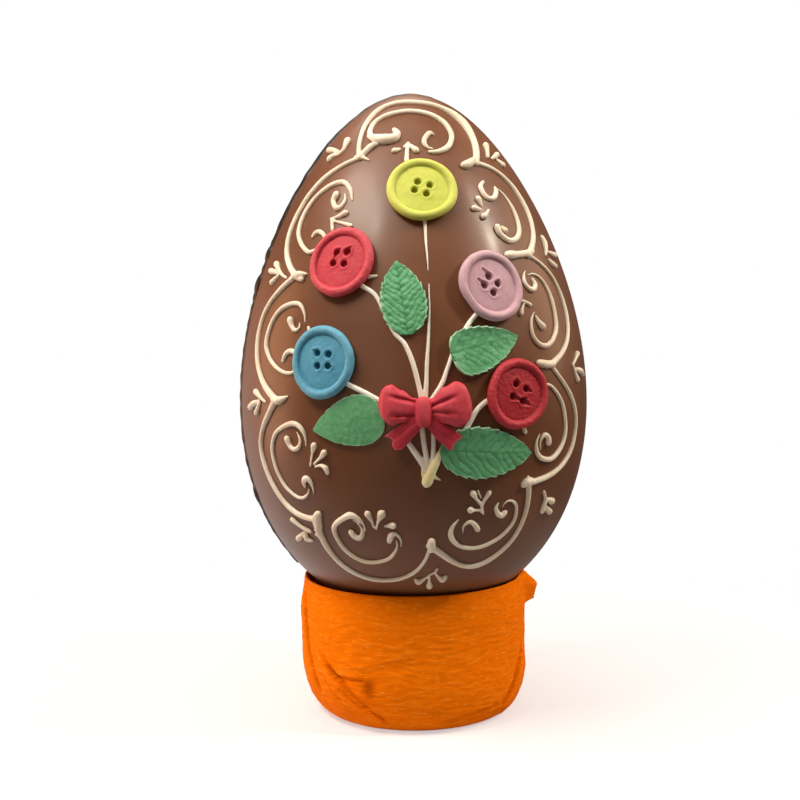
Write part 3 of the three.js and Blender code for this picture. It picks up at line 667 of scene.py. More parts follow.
# The bouquet's stems, from flower or leaf to the tie and on to their cut ends: places passed on the way
# and the widths there, evenly spread.
stems = [
    {"line": [(4.3, 86), (4.5, 97), (4.7, 111.5)], "widths": (1.9, 0.5)},
    {"line": [(4.8, 117), (4.7, 125), (4.2, 136), (3.6, 146), (2.9, 162), (2.8, 172)],
     "widths": (0.6, 1.6, 2.3)},
    {"line": [(-18, 117), (-13, 121), (-10.4, 126), (-8, 133), (-5.6, 138), (-3, 142), (-0.4, 151),
              (1.4, 162), (2.4, 170)], "widths": (2, 2.2)},
    {"line": [(14, 141), (11.6, 145), (9.4, 152), (7.6, 158), (4, 165)], "widths": (1.9, 2.1)},
    {"line": [(-21, 157.5), (-14.5, 161.5), (-9, 165.5), (-2, 169)], "widths": (2.2, 1.9)},
    {"line": [(23, 165), (20.6, 166), (17.7, 169.5), (15.4, 175), (13, 180)], "widths": (2.4, 2.1)},
    {"line": [(20, 129.5), (17.2, 133.2), (14.6, 138)], "widths": (2.2, 2.1)},
    {"line": [(-4.6, 176.5), (-2, 182), (1.3, 189), (3.4, 194.5)], "widths": (2.2, 2.6, 2.8)},
    {"line": [(1.6, 174), (2.3, 182.5), (3.2, 190), (3.6, 195)], "widths": (2.4, 2.2, 2.2)},
    {"line": [(5, 174), (5, 182), (4.8, 188), (4.4, 193)], "widths": (2, 2)},
]

# The bouquet's cut end, thick and yellower than the rest.
stemEnds = [
    {"line": [(2.2, 188), (2, 194), (2.6, 197.6)], "widths": (1.4, 2)},
    {"line": [(8, 182.5), (6.6, 187), (5, 191.5), (3.9, 195), (3.2, 197.6)],
     "widths": (1.6, 2.6, 4, 4.4, 4.6)},
    {"line": [(4.6, 195), (5.8, 196.2), (7.2, 197.4)], "widths": (2.2, 1.6, 0.7)},
    {"line": [(5.2, 190.5), (4.8, 192.5)], "widths": (3.2, 3.6)},
]


# Points set evenly along a line of flat points.
def evenly(points, spacing):
    lengths = [0]
    for before, here in zip(points, points[1:]):
        lengths.append(lengths[-1] + (here - before).length)
    count = max(2, round(lengths[-1] / spacing))
    spaced = []
    for i in range(count + 1):
        wanted = lengths[-1] * i / count
        index, share = spotAmong(lengths, wanted)
        spaced.append(points[index - 1].lerp(points[index], clamp(share)))
    return spaced


def evenlyAmong(values, share):
    spot = clamp(share) * (len(values) - 1)
    index = min(int(spot), len(values) - 2)
    return values[index] + (values[index + 1] - values[index]) * (spot - index)


# A run of icing along places, with widths spread evenly along it and round ends. rise is its height as
# a share of its width.
def icingRun(places, widths, rise, seed=0):
    run = []
    dome = icing["endSteps"]
    first, last = places[0], places[-1]
    marks = [(place, evenlyAmong(widths, i / (len(places) - 1))) for i, place in enumerate(places)]
    ends = ((first, places[1], widths[0], True), (last, places[-2], widths[-1], False))
    for end, inner, width, atStart in ends:
        wide = degreeWidth(end[1])
        away = Vector(((end[0] - inner[0]) * wide, inner[1] - end[1])).normalized()
        for i in range(1, dome + 1):
            angle = math.radians(84 * i / dome)
            reach = width / 2 * math.sin(angle)
            beyond = stepPlace(end, away.x * reach, away.y * reach), width * math.cos(angle)
            if atStart:
                marks.insert(0, beyond)
            else:
                marks.append(beyond)
    for place, width in marks:
        point, right, up, normal = onShell(place)
        width *= 1 + icing["swell"] * unevenness(point, 6, seed)
        centre = point + normal * (width * (rise - 0.5))
        centre += right * (icing["wobble"] * unevenness(point, 9, seed + 1))
        centre += up * (icing["wobble"] * unevenness(point, 9, seed + 2))
        run.append((centre, width / 2))
    return run


def lobePlaces(lobe, after):
    around, down = lobe["crown"]
    corners = (lobe["meeting"], lobe["crown"], after["meeting"])
    meeting, crown, nextMeeting = (Vector(((a - around) * degreeWidth(d), down - d)) for a, d in corners)
    chord = (nextMeeting - meeting).normalized()
    outward = Vector((chord.y, -chord.x))
    hold = 0.39  # the handle that makes a quarter circle, as a share of its chord

    def toward(angle, way):
        return chord * way * math.cos(math.radians(angle)) + outward * math.sin(math.radians(angle))

    first = hold * (crown - meeting).length
    second = hold * (crown - nextMeeting).length
    points = interpolate_bezier(
        meeting, meeting + toward(lobe["leave"], 1) * first, crown - chord * first, crown, icing["lobeSteps"])
    points += interpolate_bezier(
        crown, crown + chord * second, nextMeeting + toward(lobe["arrive"], -1) * second, nextMeeting,
        icing["lobeSteps"])
    return [stepPlace(lobe["crown"], p.x, p.y) for p in evenly(points, icing["spacing"])]


def smoothPlaces(points):
    marks = [Vector(point) for point in points]
    ends = [2 * marks[0] - marks[1]] + marks + [2 * marks[-1] - marks[-2]]
    line = []
    for i in range(1, len(ends) - 2):
        leave = (ends[i + 1] - ends[i - 1]) / 6
        arrive = (ends[i + 2] - ends[i]) / 6
        line += interpolate_bezier(
            ends[i], ends[i] + leave, ends[i + 1] - arrive, ends[i + 1], icing["stretchSteps"])
    return [tuple(place) for place in evenly(line, icing["spacing"])]


# A stroke through spots of the camera's frame, with its width at each of them.
def strokeRun(stroke, seed):
    spots, widths = stroke
    marks = [seenPlace(spot) for spot in spots]
    places = smoothPlaces(marks)
    lengths = [0]
    for before, here in zip(marks, marks[1:]):
        lengths.append(lengths[-1] + math.hypot(here[0] - before[0], here[1] - before[1]))
    spread = []
    for i in range(icing["widthSteps"] + 1):
        wanted = lengths[-1] * i / icing["widthSteps"]
        index, share = spotAmong(lengths, wanted)
        spread.append(widths[index - 1] + (widths[index] - widths[index - 1]) * clamp(share))
    return icingRun(places, spread, icing["strokeRise"], seed)


def makeIcing():
    frameRuns = []
    for i, lobe in enumerate(lobes):
        places = lobePlaces(lobe, lobes[(i + 1) % len(lobes)])
        frameRuns.append(icingRun(places, lobe["widths"], icing["frameRise"], i))
    frameRuns += [strokeRun(blob, i) for i, blob in enumerate(blobs)]
    scrollRuns = [strokeRun(scroll, i) for i, scroll in enumerate(scrolls)]
    dropRuns = [strokeRun(drop, i) for i, drop in enumerate(flourishes)]
    stemRuns, endRuns = ([icingRun(smoothPlaces(stem["line"]), stem["widths"], icing["stemRise"], i)
                          for i, stem in enumerate(group)] for group in (stems, stemEnds))
    groups = [("icing_frame", frameRuns, whiteIcing), ("icing_scrolls", scrollRuns, whiteIcing),
              ("icing_flourishes", dropRuns, whiteIcing), ("icing_stems", stemRuns, stemIcing),
              ("icing_stem_end", endRuns, stemEndIcing)]
    for name, runs, finish in groups:
        piece = pipeRuns(runs, icing["voxel"], icing["smoothing"])
        placePiece(piece, name, "egg", finish)


makeIcing()
print("icing made")


# Sugar paste buttons.

buttonForm = {
    "major": 12.6, "minor": 1.9, "tall": 1.13, "web": 2.65, "dome": 0.3, "seat": 0.3, "hole": 1.55,
    "floor": 0.9, "lip": 0.2, "sides": 96, "tubeSides": 24, "voxel": 0.3, "drillDepth": 4, "drillSides": 24,
}

# Each button: the holes and the tears beside them from its middle, in millimetres across and up (a tear
# has its two ends and its half width), its colours as body, painted highlight on the rim and painted shade
# in the holes, tears, crease and foot, how it was squeezed out of round as (lobes, millimetres, degrees),
# how rough its paste is, and the dent pressed in its rim.
buttons = [
    {"node": "button_yellow", "slot": "yellow_paste", "anchor": (3.9, 75.3),
     "holes": [(-1.7, 3.0), (3.1, 1.4), (-3.2, -0.9), (1.5, -2.7)], "tears": [],
     "colours": ("#c4cc58", "#eaee8c", "#9fa41c"), "squeeze": [(2, 0.2, 180)], "rough": 0.04,
     "dent": (-70, 0.3)},
    {"node": "button_red_left", "slot": "red_paste", "anchor": (-25.5, 107.6),
     "holes": [(-2.0, 3.6), (2.5, 3.7), (-2.9, -0.9), (2.1, -1.2)],
     "tears": [((2.8, 4.2), (3.8, 5.8), 1.3), ((-2.2, 3.2), (-2.7, 0), 0.7), ((-1.8, 4.2), (-0.5, 5), 1)],
     "colours": ("#c63848", "#e67f8a", "#a01324"), "squeeze": [(2, 0.45, 160)], "rough": 0.1,
     "dent": (-120, 0.2)},
    {"node": "button_lilac", "slot": "lilac_paste", "anchor": (25.6, 118.5),
     "holes": [(-1.0, 3.3), (-3.7, -0.3), (2.4, 0.4), (-0.1, -3.2)],
     "tears": [((-1.2, 3.8), (-3.2, 6.6), 1.3), ((-3.9, 0.2), (-5.9, 2.5), 1.2), ((2.4, 0.8), (3, 2), 1.2)],
     "colours": ("#c39daa", "#ecd4d8", "#94676f"), "squeeze": [(2, 0.45, 205)], "rough": 0.04,
     "dent": (-148, 0.7)},
    {"node": "button_blue", "slot": "blue_paste", "anchor": (-28.3, 149.2),
     "holes": [(-1.9, 3.4), (3.2, 3.0), (-1.6, -1.7), (3.3, -1.7)],
     "tears": [((-2.2, 3.6), (-4, 4.4), 1), ((3.6, -1.6), (5, -2), 0.9)],
     "colours": ("#4f9aba", "#98d2e4", "#1d6b88"), "squeeze": [(2, 0.4, 185), (3, 0.15, 60)], "rough": 0.06,
     "dent": (42, 0.25)},
    {"node": "button_red_right", "slot": "crimson_paste", "anchor": (31.2, 163.1),
     "holes": [(-1.5, 4.0), (3.2, 1.8), (-3.3, -0.9), (1.3, -3.1)],
     "tears": [((-1, 4.6), (-1.3, 6), 1.1), ((4, 1.3), (5.6, 0.4), 1), ((-2.4, -1.4), (0.4, -2.6), 1.1),
               ((2, -3.6), (4.6, -4.8), 1.5), ((2.4, -2.4), (3.6, -2), 0.9)],
     "colours": ("#b02432", "#d4525d", "#860a16"), "squeeze": [(2, 0.15, 20), (3, 0.2, 0)], "rough": 0.16,
     "dent": (150, 0.5)},
]


# How far a spot is from the line between two others.
def farFromLine(x, y, start, end):
    run = Vector(end) - Vector(start)
    spot = Vector((x, y)) - Vector(start)
    share = clamp(spot.dot(run) / run.length_squared)
    return (spot - run * share).length, share


def makeButton(button, seed):
    major, minor, tall, web = (buttonForm[key] for key in ("major", "minor", "tall", "web"))
    clearSelection()
    bpy.ops.mesh.primitive_torus_add(
        major_segments=buttonForm["sides"], minor_segments=buttonForm["tubeSides"], major_radius=major,
        minor_radius=minor)
    piece = bpy.context.object
    bpy.ops.transform.resize(value=(1, 1, tall))
    bpy.ops.transform.translate(value=(0, 0, minor * tall))
    bpy.ops.object.transform_apply(location=True, scale=True)
    bpy.ops.mesh.primitive_cylinder_add(
        vertices=buttonForm["sides"], radius=major, depth=web, location=(0, 0, web / 2))
    middle = bpy.context.object
    bpy.ops.object.transform_apply(location=True)
    applyModifier(piece, "BOOLEAN", operation="UNION", object=middle, solver="EXACT")
    bpy.data.objects.remove(middle)
    for hole in button["holes"]:
        drillHole(piece, hole, buttonForm["hole"])
    applyModifier(piece, "REMESH", mode="VOXEL", voxel_size=buttonForm["voxel"])
    applyModifier(piece, "SMOOTH", factor=0.5, iterations=2)
    dentWay, dentDepth = button["dent"]
    dentWay = math.radians(dentWay)
    tones = []
    for vertex in piece.data.vertices:
        x, y, z = vertex.co
        far = math.hypot(x, y)
        angle = math.atan2(y, x)
        onTop = smoothStep((z - 1.2) / 1.2)
        onWeb = smoothStep((major - minor - far) / 0.6)
        lift = buttonForm["dome"] * (1 - (far / major) ** 2) * onTop * onWeb
        # Painted shade inside the holes and the tears.
        holeShade = 0
        for hole in button["holes"]:
            fromHole = math.hypot(x - hole[0], y - hole[1]) - buttonForm["hole"]
            lift += buttonForm["lip"] * math.exp(-((fromHole - 0.6) / 0.6) ** 2) * onTop
            if fromHole < 0.1:
                holeShade = max(holeShade, smoothStep((web - 0.2 - z) / 0.8))
        for start, end, width in button["tears"]:
            off, share = farFromLine(x, y, start, end)
            width *= 1 - 0.6 * share
            cleft = math.exp(-(off / width) ** 4)
            burr = 0.18 * math.exp(-((off - width - 0.3) / 0.5) ** 2)
            lift += (burr - 1.1 * cleft * (1 - 0.6 * share)) * onTop
            holeShade = max(holeShade, (0.8 - 0.5 * share) * cleft * onTop)
        # Painted shade in the crease inside the rim and at the foot near the shell; painted highlight on the
        # rim.
        crease = math.exp(-((far - (major - minor)) / 0.4) ** 2) * onTop
        onRim = smoothStep((far - major + minor) / 0.8) * onTop
        tones.append(0.47 + 0.1 * onRim - 0.12 * crease - 0.42 * holeShade - 0.12 * smoothStep((0.9 - z) / 0.9))
        squeeze = 1 + sum(amount / major * math.cos(count * angle - math.radians(phase))
                          for count, amount, phase in button["squeeze"])
        turn = (angle - dentWay + math.pi) % (2 * math.pi) - math.pi
        dent = dentDepth * math.exp(-(turn / 0.42) ** 2) * smoothStep((far - major + 1.5) / 2)
        squeeze -= dent / major
        lift -= 0.45 * dent * onTop
        lift -= 3.5 * button["rough"] * crease * abs(unevenness((x, y, 0), 1.4, seed + 5))
        grain = 0.14 * unevenness((x, y, z), 5, seed) + button["rough"] * unevenness((x, y, z), 1.1, seed + 9)
        swell = 1 + (0.1 * unevenness((x, y, 0), 7, seed) + grain * 0.6 * smoothStep((far - 11) / 2)) / major
        vertex.co = Vector((x * squeeze * swell, y * squeeze * swell, z + lift + grain * smoothStep(z / 2)))
    paintTone(piece, tones)
    layOnShell(piece, button["anchor"], buttonForm["seat"])
    body, paleEdgeAndHighlight, deep = button["colours"]
    finish = makePaste(button["slot"].replace("_", " "), body, paleEdgeAndHighlight, deep)
    placePiece(piece, button["node"] + "_paste", button["node"], finish)


def drillHole(piece, middle, radius):
    clearSelection()
    depth = buttonForm["drillDepth"]
    bpy.ops.mesh.primitive_cone_add(
        vertices=buttonForm["drillSides"], radius1=radius * 0.8, radius2=radius * 1.15, depth=depth,
        location=(*middle, buttonForm["floor"] + depth / 2))
    drill = bpy.context.object
    applyModifier(piece, "BOOLEAN", operation="DIFFERENCE", object=drill, solver="EXACT")
    bpy.data.objects.remove(drill)


for seed, button in enumerate(buttons):
    makeButton(button, seed + 1)
print("buttons made")


# Sugar paste leaves.

leafForm = {"thickness": 1.3, "seat": 0.3, "along": 150, "across": 84}

# Each leaf: its base and its tip, its half widths left and right of the way between them, how blunt its base
# and its tip are (smaller is blunter), the depth and spacing of its teeth and of its veins, how lumpy it is,
# and how far its sides and its base curl up.
leaves = [
    {"node": "leaf_upper_left", "base": (-1.9, 137.8), "tip": (-5.9, 107.6), "halves": (9.2, 9.6),
     "blunt": (0.5, 0.72), "teeth": 0.75, "teethSpacing": 3.4, "vein": 0.46, "veinSpacing": 2.8,
     "lumps": 0.36, "cup": 0.8, "curl": 0},
    {"node": "leaf_upper_right", "base": (10.4, 146), "tip": (33.2, 139.1), "halves": (8.6, 10.8),
     "blunt": (0.32, 0.82), "teeth": 0.5, "teethSpacing": 3.2, "vein": 0.15, "veinSpacing": 3.4,
     "lumps": 0.22, "cup": 1.3, "curl": 1.7},
    {"node": "leaf_lower_left", "base": (-9.3, 171.9), "tip": (-31.5, 177.1), "halves": (9, 11.6),
     "blunt": (0.44, 0.9), "teeth": 0.25, "teethSpacing": 4, "vein": 0, "veinSpacing": 3.2, "lumps": 0.14,
     "cup": -0.35, "curl": 0},
    {"node": "leaf_lower_right", "base": (7, 185), "tip": (36.7, 188.3), "halves": (10.6, 10.8),
     "blunt": (0.5, 0.8), "teeth": 0.8, "teethSpacing": 4.2, "vein": 0.26, "veinSpacing": 3.8, "lumps": 0.2,
     "cup": 0.8, "curl": 0},
]

leafPaste = makePaste("green leaf paste", "#5da876", "#b8dfc0", "#327246")


def makeLeaf(leaf, seed):
    base, tip = leaf["base"], leaf["tip"]
    middle = ((base[0] + tip[0]) / 2, (base[1] + tip[1]) / 2)
    run = Vector(((tip[0] - base[0]) * degreeWidth(middle[1]), base[1] - tip[1]))
    length = run.length
    run.normalize()
    side = Vector((-run.y, run.x))
    clearSelection()
    bpy.ops.mesh.primitive_grid_add(
        x_subdivisions=leafForm["along"], y_subdivisions=leafForm["across"], size=2)
    piece = bpy.context.object
    baseBlunt, tipBlunt = leaf["blunt"]
    widestShare = baseBlunt / (baseBlunt + tipBlunt)
    fullSwell = widestShare ** baseBlunt * (1 - widestShare) ** tipBlunt
    tones = []
    for vertex in piece.data.vertices:
        share = 0.003 + 0.994 * (vertex.co.x + 1) / 2
        off = vertex.co.y
        along = share * length
        swell = share ** baseBlunt * (1 - share) ** tipBlunt / fullSwell
        half = leaf["halves"][0 if off > 0 else 1] * swell
        saw = (along / leaf["teethSpacing"] + (0.3 if off > 0 else 0)) % 1
        half += leaf["teeth"] * (saw - 0.5) * smoothStep(swell * 1.4 - 0.2) * abs(off)
        across = off * half
        slant = abs(across) * (0.95 + 0.25 * unevenness((along, across, 0), 9, seed))
        drift = 0.4 * unevenness((along, across, 0), 5, seed + 1)
        ripple = ((along - slant) / leaf["veinSpacing"] + (0.4 if off > 0 else 0) + drift) % 1
        groove = math.exp(-((ripple - 0.5) / 0.2) ** 2) * smoothStep(abs(across) / 0.8)
        fading = 0.8 + 0.5 * unevenness((along, across, 0), 4, seed + 2)
        groove *= smoothStep((1 - abs(off)) / 0.15) * fading
        midrib = math.exp(-(across / 0.6) ** 2) * smoothStep((1 - share) / 0.15)
        relief = leaf["lumps"] * unevenness((along, across, 0), 2.4, seed + 3)
        relief += 0.5 * leaf["lumps"] * unevenness((along, across, 0), 1.1, seed + 4)
        relief -= leaf["vein"] * (groove + 0.8 * midrib)
        lift = leaf["cup"] * off * off * math.sin(math.pi * share)
        lift += leaf["curl"] * math.exp(-(share / 0.1) ** 2) * (0.6 + 0.4 * abs(off))
        lift += 0.3 * unevenness((along, across, 0), 9, seed)
        ridge = leaf["vein"] * math.exp(-(off / 0.3) ** 2)
        lift += (relief + ridge) * smoothStep(half / 3)
        flat = run * (along - length / 2) + side * across
        vertex.co = (flat.x, flat.y, lift)
        edge = smoothStep((abs(off) - 0.93) / 0.07)
        # Painted shade in the vein grooves, along the midrib and in the lumps' low parts, painted highlight
        # on their high parts; the edge is paler.
        tones.append(0.5 + 0.28 * edge - 0.5 * leaf["vein"] * (groove + midrib) + 0.2 * relief)
    paintTone(piece, tones)
    applyModifier(piece, "SOLIDIFY", thickness=leafForm["thickness"], offset=1)
    applyModifier(piece, "BEVEL", width=0.3, segments=2, limit_method="ANGLE", angle_limit=math.radians(50))
    layOnShell(piece, middle, leafForm["seat"])
    placePiece(piece, leaf["node"] + "_paste", leaf["node"], leafPaste)


for seed, leaf in enumerate(leaves):
    makeLeaf(leaf, seed + 11)
print("leaves made")


# The bow.

bowForm = {
    "anchor": (1.9, 168.8), "lift": 2, "knot": (7.4, 12.6, 5.6), "tailLift": 3.1, "tailThickness": 1.9,
    "gap": 0.002, "loopSegments": 112, "loopRings": 88, "tailAlong": 56, "tailAcross": 32, "knotLevels": 5,
}

# Each loop: stations with the distance out, the height of the middle, the half height and the thickness
# there; how far from its end it starts to close; and its creases, from the knot outwards, with their
# depth and half width.
bowLoops = [
    {"name": "bow_loop_left", "way": -1, "closing": 6,
     "stations": [(-0.4, 1.2, 3.4, 3.2), (3.3, 1.5, 4, 4), (8, 2.35, 6.3, 5.4), (12, 2.9, 8.1, 6),
                  (14.6, 3.2, 8.3, 5.8), (16.8, 3.1, 8.1, 5)],
     "creases": [((2.4, 3.8), (14.5, 6.9), 1.1, 0.6), ((3.4, -1.2), (13.6, -1.2), 1.3, 0.6)]},
    {"name": "bow_loop_right", "way": 1, "closing": 6,
     "stations": [(-0.4, 1.2, 3.2, 3.2), (3.3, 1.6, 3.7, 4), (8, 2.5, 7.1, 5.4), (12.5, 2.9, 8.8, 6),
                  (15.6, 2.6, 8.9, 5.8), (18.7, 1.2, 8.6, 5)],
     "creases": [((3, 2.2), (14, 6.9), 1.2, 0.6), ((3.4, -0.1), (14, -0.8), 0.8, 0.6)]},
]

# Each tail: where it leaves the knot, its heading, its half widths along it and its lengths from one edge
# of its notched end to the other.
bowTails = [
    {"name": "bow_tail_left", "root": (-2, -3.5), "heading": -137.5, "halves": (1.9, 2.6, 4.1),
     "ends": (13.4, 12.3, 12, 13.6, 14, 12.3)},
    {"name": "bow_tail_right", "root": (3, -4.2), "heading": -41, "halves": (1.8, 2.5, 3.6),
     "ends": (13.4, 12.6, 12.1, 12.6, 13.2)},
]

bowPaste = makePaste("crimson bow paste", "#c73345", "#e8757f", "#8a1120")


# Smooth in-between values of a list of stations, each starting with the place that it is for.
def stationAt(stations, out):
    index, share = spotAmong([station[0] for station in stations], out)
    before, after = stations[index - 1], stations[index]
    return [a + (b - a) * smoothStep(share) for a, b in zip(before[1:], after[1:])]


def makeBowLoop(loop, seed):
    clearSelection()
    bpy.ops.mesh.primitive_uv_sphere_add(
        segments=bowForm["loopSegments"], ring_count=bowForm["loopRings"], radius=1)
    piece = bpy.context.object
    first, reach = loop["stations"][0][0], loop["stations"][-1][0]
    tones = []
    for vertex in piece.data.vertices:
        share = math.acos(clamp(vertex.co.z, -1, 1)) / math.pi
        ring = math.hypot(vertex.co.x, vertex.co.y)
        across = vertex.co.x / max(ring, 1e-6)
        deep = vertex.co.y / max(ring, 1e-6)
        out = first + (reach - first) * math.sin(share * math.pi / 2)
        rise, half, thick = stationAt(loop["stations"], out)
        closing = math.sqrt(clamp(1 - max(0, 1 - (reach - out) / loop["closing"]) ** 2))
        closing *= math.sqrt(clamp(share / 0.01))
        height = rise + half * closing * across
        puff = math.copysign(abs(deep) ** 0.8, deep)
        lift = bowForm["lift"] + thick / 2 * (1 + closing ** 0.6 * puff)
        # Painted highlight: the loop is paler where it stands highest.
        tone = 0.48 + 0.1 * smoothStep((lift - 5) / 2)
        if deep > 0:
            for start, end, depth, width in loop["creases"]:
                off, along = farFromLine(out, height, start, end)
                dip = math.exp(-(off / (width * (1 + 0.6 * along))) ** 2) * smoothStep((1 - along) / 0.5)
                lift -= depth * dip * deep
                # Painted shade in the crease.
                tone -= 0.22 * dip
        lift += 0.12 * unevenness((out, height, deep), 4, seed) * max(0, deep)
        tones.append(tone)
        vertex.co = (loop["way"] * out, height, lift)
    paintTone(piece, tones)
    finishBowPiece(piece, loop["name"])


def finishBowPiece(piece, name):
    mergeAndOrient(piece, bowForm["gap"])
    layOnShell(piece, bowForm["anchor"])
    placePiece(piece, name, "bow", bowPaste)


def makeBowKnot():
    clearSelection()
    bpy.ops.mesh.primitive_cube_add(size=2)
    piece = bpy.context.object
    applyModifier(piece, "SUBSURF", levels=bowForm["knotLevels"], render_levels=bowForm["knotLevels"])
    width, height, rise = bowForm["knot"]
    tones = []
    for vertex in piece.data.vertices:
        x, y, z = vertex.co * 1.12
        across, up, out = (math.copysign(abs(c) ** 0.8, c) for c in (x, y, z))
        waist = 1 - 0.1 * math.cos(up * 1.4)
        lift = bowForm["lift"] + rise / 2 * (1 + out)
        # Painted highlight on the knot's top and painted shade down its sides.
        tones.append(0.48 + 0.12 * smoothStep(out) - 0.2 * smoothStep(abs(across) * 2 - 1.2))
        vertex.co = (width / 2 * across * waist, height / 2 * up, lift)
    paintTone(piece, tones)
    finishBowPiece(piece, "bow_knot")


def makeBowTail(tail, seed):
    clearSelection()
    bpy.ops.mesh.primitive_grid_add(
        x_subdivisions=bowForm["tailAlong"], y_subdivisions=bowForm["tailAcross"], size=2)
    piece = bpy.context.object
    turn = Matrix.Rotation(math.radians(tail["heading"]), 2)
    root = Vector(tail["root"])
    tones = []
    for vertex in piece.data.vertices:
        share = (vertex.co.x + 1) / 2
        off = vertex.co.y
        far = evenlyAmong(tail["ends"], (off + 1) / 2)
        along = -1.5 + (far + 1.5) * share
        half = evenlyAmong(tail["halves"], share)
        flat = root + turn @ Vector((along, off * half))
        fold = math.exp(-((off + 0.15) / 0.22) ** 2) * smoothStep((1 - share) / 0.5)
        lift = 0.7 * math.sin(math.pi * share) * (1 - off * off) - 0.5 * fold
        lift += 0.25 * unevenness((along, off * half, 0), 4, seed)
        edge = smoothStep((max(abs(off), share) - 0.9) / 0.1)
        # Paler along the edges towards the end, with painted shade near the knot and in the fold.
        tones.append(0.48 + 0.2 * edge * share - 0.06 * (1 - share) - 0.08 * fold)
        vertex.co = (flat.x, flat.y, bowForm["tailLift"] + lift - 1.4 * smoothStep(share))
    paintTone(piece, tones)
    applyModifier(piece, "SOLIDIFY", thickness=bowForm["tailThickness"], offset=1)
    applyModifier(piece, "BEVEL", width=0.5, segments=3, limit_method="ANGLE", angle_limit=math.radians(50))
    finishBowPiece(piece, tail["name"])


for seed, loop in enumerate(bowLoops):
    makeBowLoop(loop, seed + 21)
makeBowKnot()
for seed, tail in enumerate(bowTails):
    makeBowTail(tail, seed + 24)
print("bow made")


# The crepe paper collar.

collarForm = {
    "foot": 40, "wall": 52.2, "rim": 50.6, "height": 62.5, "rounding": 25, "lean": -1.2, "paper": 1.2,
    "pocket": 7, "seat": 0.6, "gap": 0.01, "columns": 520, "rowStep": 0.52,
    # the wall's upper turns, in millimetres below the rim, and the rows that the foot, the rounding, the rim
    # and the seat are drawn in
    "turns": (14, 6), "footRows": 8, "roundingRows": 40, "rimRows": 6, "seatRows": 24,
    # the folded flap at the right: where it starts and ends round the collar, and how far it stands out at
    # each height
    "ear": {"from": 80, "to": 116, "reaches": [(48.2, 0), (50, 4.4), (56.5, 6.6), (62.5, 1.2)]},
    "crinkle": 0.27, "crinklePitch": 1.3, "crinkleLength": 6.5,
    "stain": {"place": (-23.3, 22), "size": 3.4},
}

# Pleats and wrinkles of the paper: the places a line runs through as degrees round and height, how far the
# paper on its left stands in front of that on its right, how deep the crease is pressed and how far both
# reach.
pleats = [
    {"line": [(-80, 60), (-72, 50), (-69, 40), (-66, 31), (-60, 22), (-55, 12)], "step": -1.1,
     "crease": 0.7, "reach": 9},
    {"line": [(-57, 34), (-46, 27), (-40, 23), (-33, 17), (-24, 9.6), (-14, 4)], "step": -1.6,
     "crease": 0.8, "reach": 8},
    {"line": [(-50, 29), (-42, 24.5), (-34, 24), (-24, 25)], "step": 0.6, "crease": 0.6, "reach": 4},
    {"line": [(-47, 25), (-40, 22), (-34, 21.5)], "step": -0.4, "crease": 0.45, "reach": 3},
    {"line": [(-45, 27), (-27, 30), (-12, 34), (2, 36)], "step": 0.3, "crease": -0.2, "reach": 6},
    {"line": [(-40, 20), (-35, 16), (-28, 11)], "step": 0.5, "crease": 0.5, "reach": 4},
    {"line": [(-50, 22), (-44, 15), (-36, 8)], "step": 0.5, "crease": 0.5, "reach": 5},
    {"line": [(-7, 32), (-12, 15)], "step": 0.2, "crease": 0, "reach": 7},
    {"line": [(74, 33), (64, 22), (56, 12), (50, 7)], "step": 1.2, "crease": 0.8, "reach": 7},
    {"line": [(12, 6), (30, 7.5), (50, 10)], "step": 0.6, "crease": 0.4, "reach": 5},
]


# The collar's profile from the middle of its foot, up the outside, over the rim and down to the seat.
def collarProfile():
    foot, wall, rim, height = (collarForm[key] for key in ("foot", "wall", "rim", "height"))
    rounding, paper, seat = (collarForm[key] for key in ("rounding", "paper", "seat"))
    footRows, roundingRows = collarForm["footRows"], collarForm["roundingRows"]
    rimRows, seatRows = collarForm["rimRows"], collarForm["seatRows"]
    lowTurn, highTurn = collarForm["turns"]
    points = [Vector((foot * i / footRows, 0)) for i in range(footRows)]
    outer = [Vector((foot, 0))]
    for i in range(1, roundingRows):
        angle = math.radians(90 * i / roundingRows)
        outer.append(Vector((foot + (wall - foot) * math.sin(angle), rounding * (1 - math.cos(angle)))))
    outer.append(Vector((wall, rounding)))
    outer.append(Vector((wall, height - lowTurn)))
    outer.append(Vector(((wall + rim) / 2, height - highTurn)))
    outer.append(Vector((rim, height - paper / 2)))
    outer = evenly(outer, collarForm["rowStep"])
    points += outer
    for i in range(1, rimRows):
        angle = math.pi * i / rimRows
        across, above = paper / 2 * math.cos(angle), paper / 2 * math.sin(angle)
        points.append(Vector((rim - paper / 2 + across, height - paper / 2 + above)))
    points.append(Vector((rim - paper, height - paper)))
    points += [Vector((rim - paper, height - paper - i)) for i in (1.5, 3, 4.5)]
    seatTop = angleAtHeight(height - collarForm["pocket"])
    for i in range(seatRows):
        t = seatTop + (math.pi - seatTop) * i / seatRows
        out, up = profileNormal(t)
        points.append(Vector((radiusAt(t) + seat * out, heightAt(t) + seat * up)))
    points.append(Vector((0, eggForm["bottom"] - seat)))
    return points, footRows, footRows + len(outer) + rimRows


# How far a spot is from a pleat's line: the distance, positive on the line's left, and the share along it.
def fromPleat(around, height, line):
    scale = math.radians(1) * collarForm["wall"]
    best = (1e9, 0)
    for i, (start, end) in enumerate(zip(line, line[1:])):
        a, b = (start[0] * scale, start[1]), (end[0] * scale, end[1])
        off, share = farFromLine(around * scale, height, a, b)
        if off < abs(best[0]):
            side = (b[0] - a[0]) * (height - a[1]) - (b[1] - a[1]) * (around * scale - a[0])
            best = (math.copysign(off, side), (i + share) / (len(line) - 1))
    return best


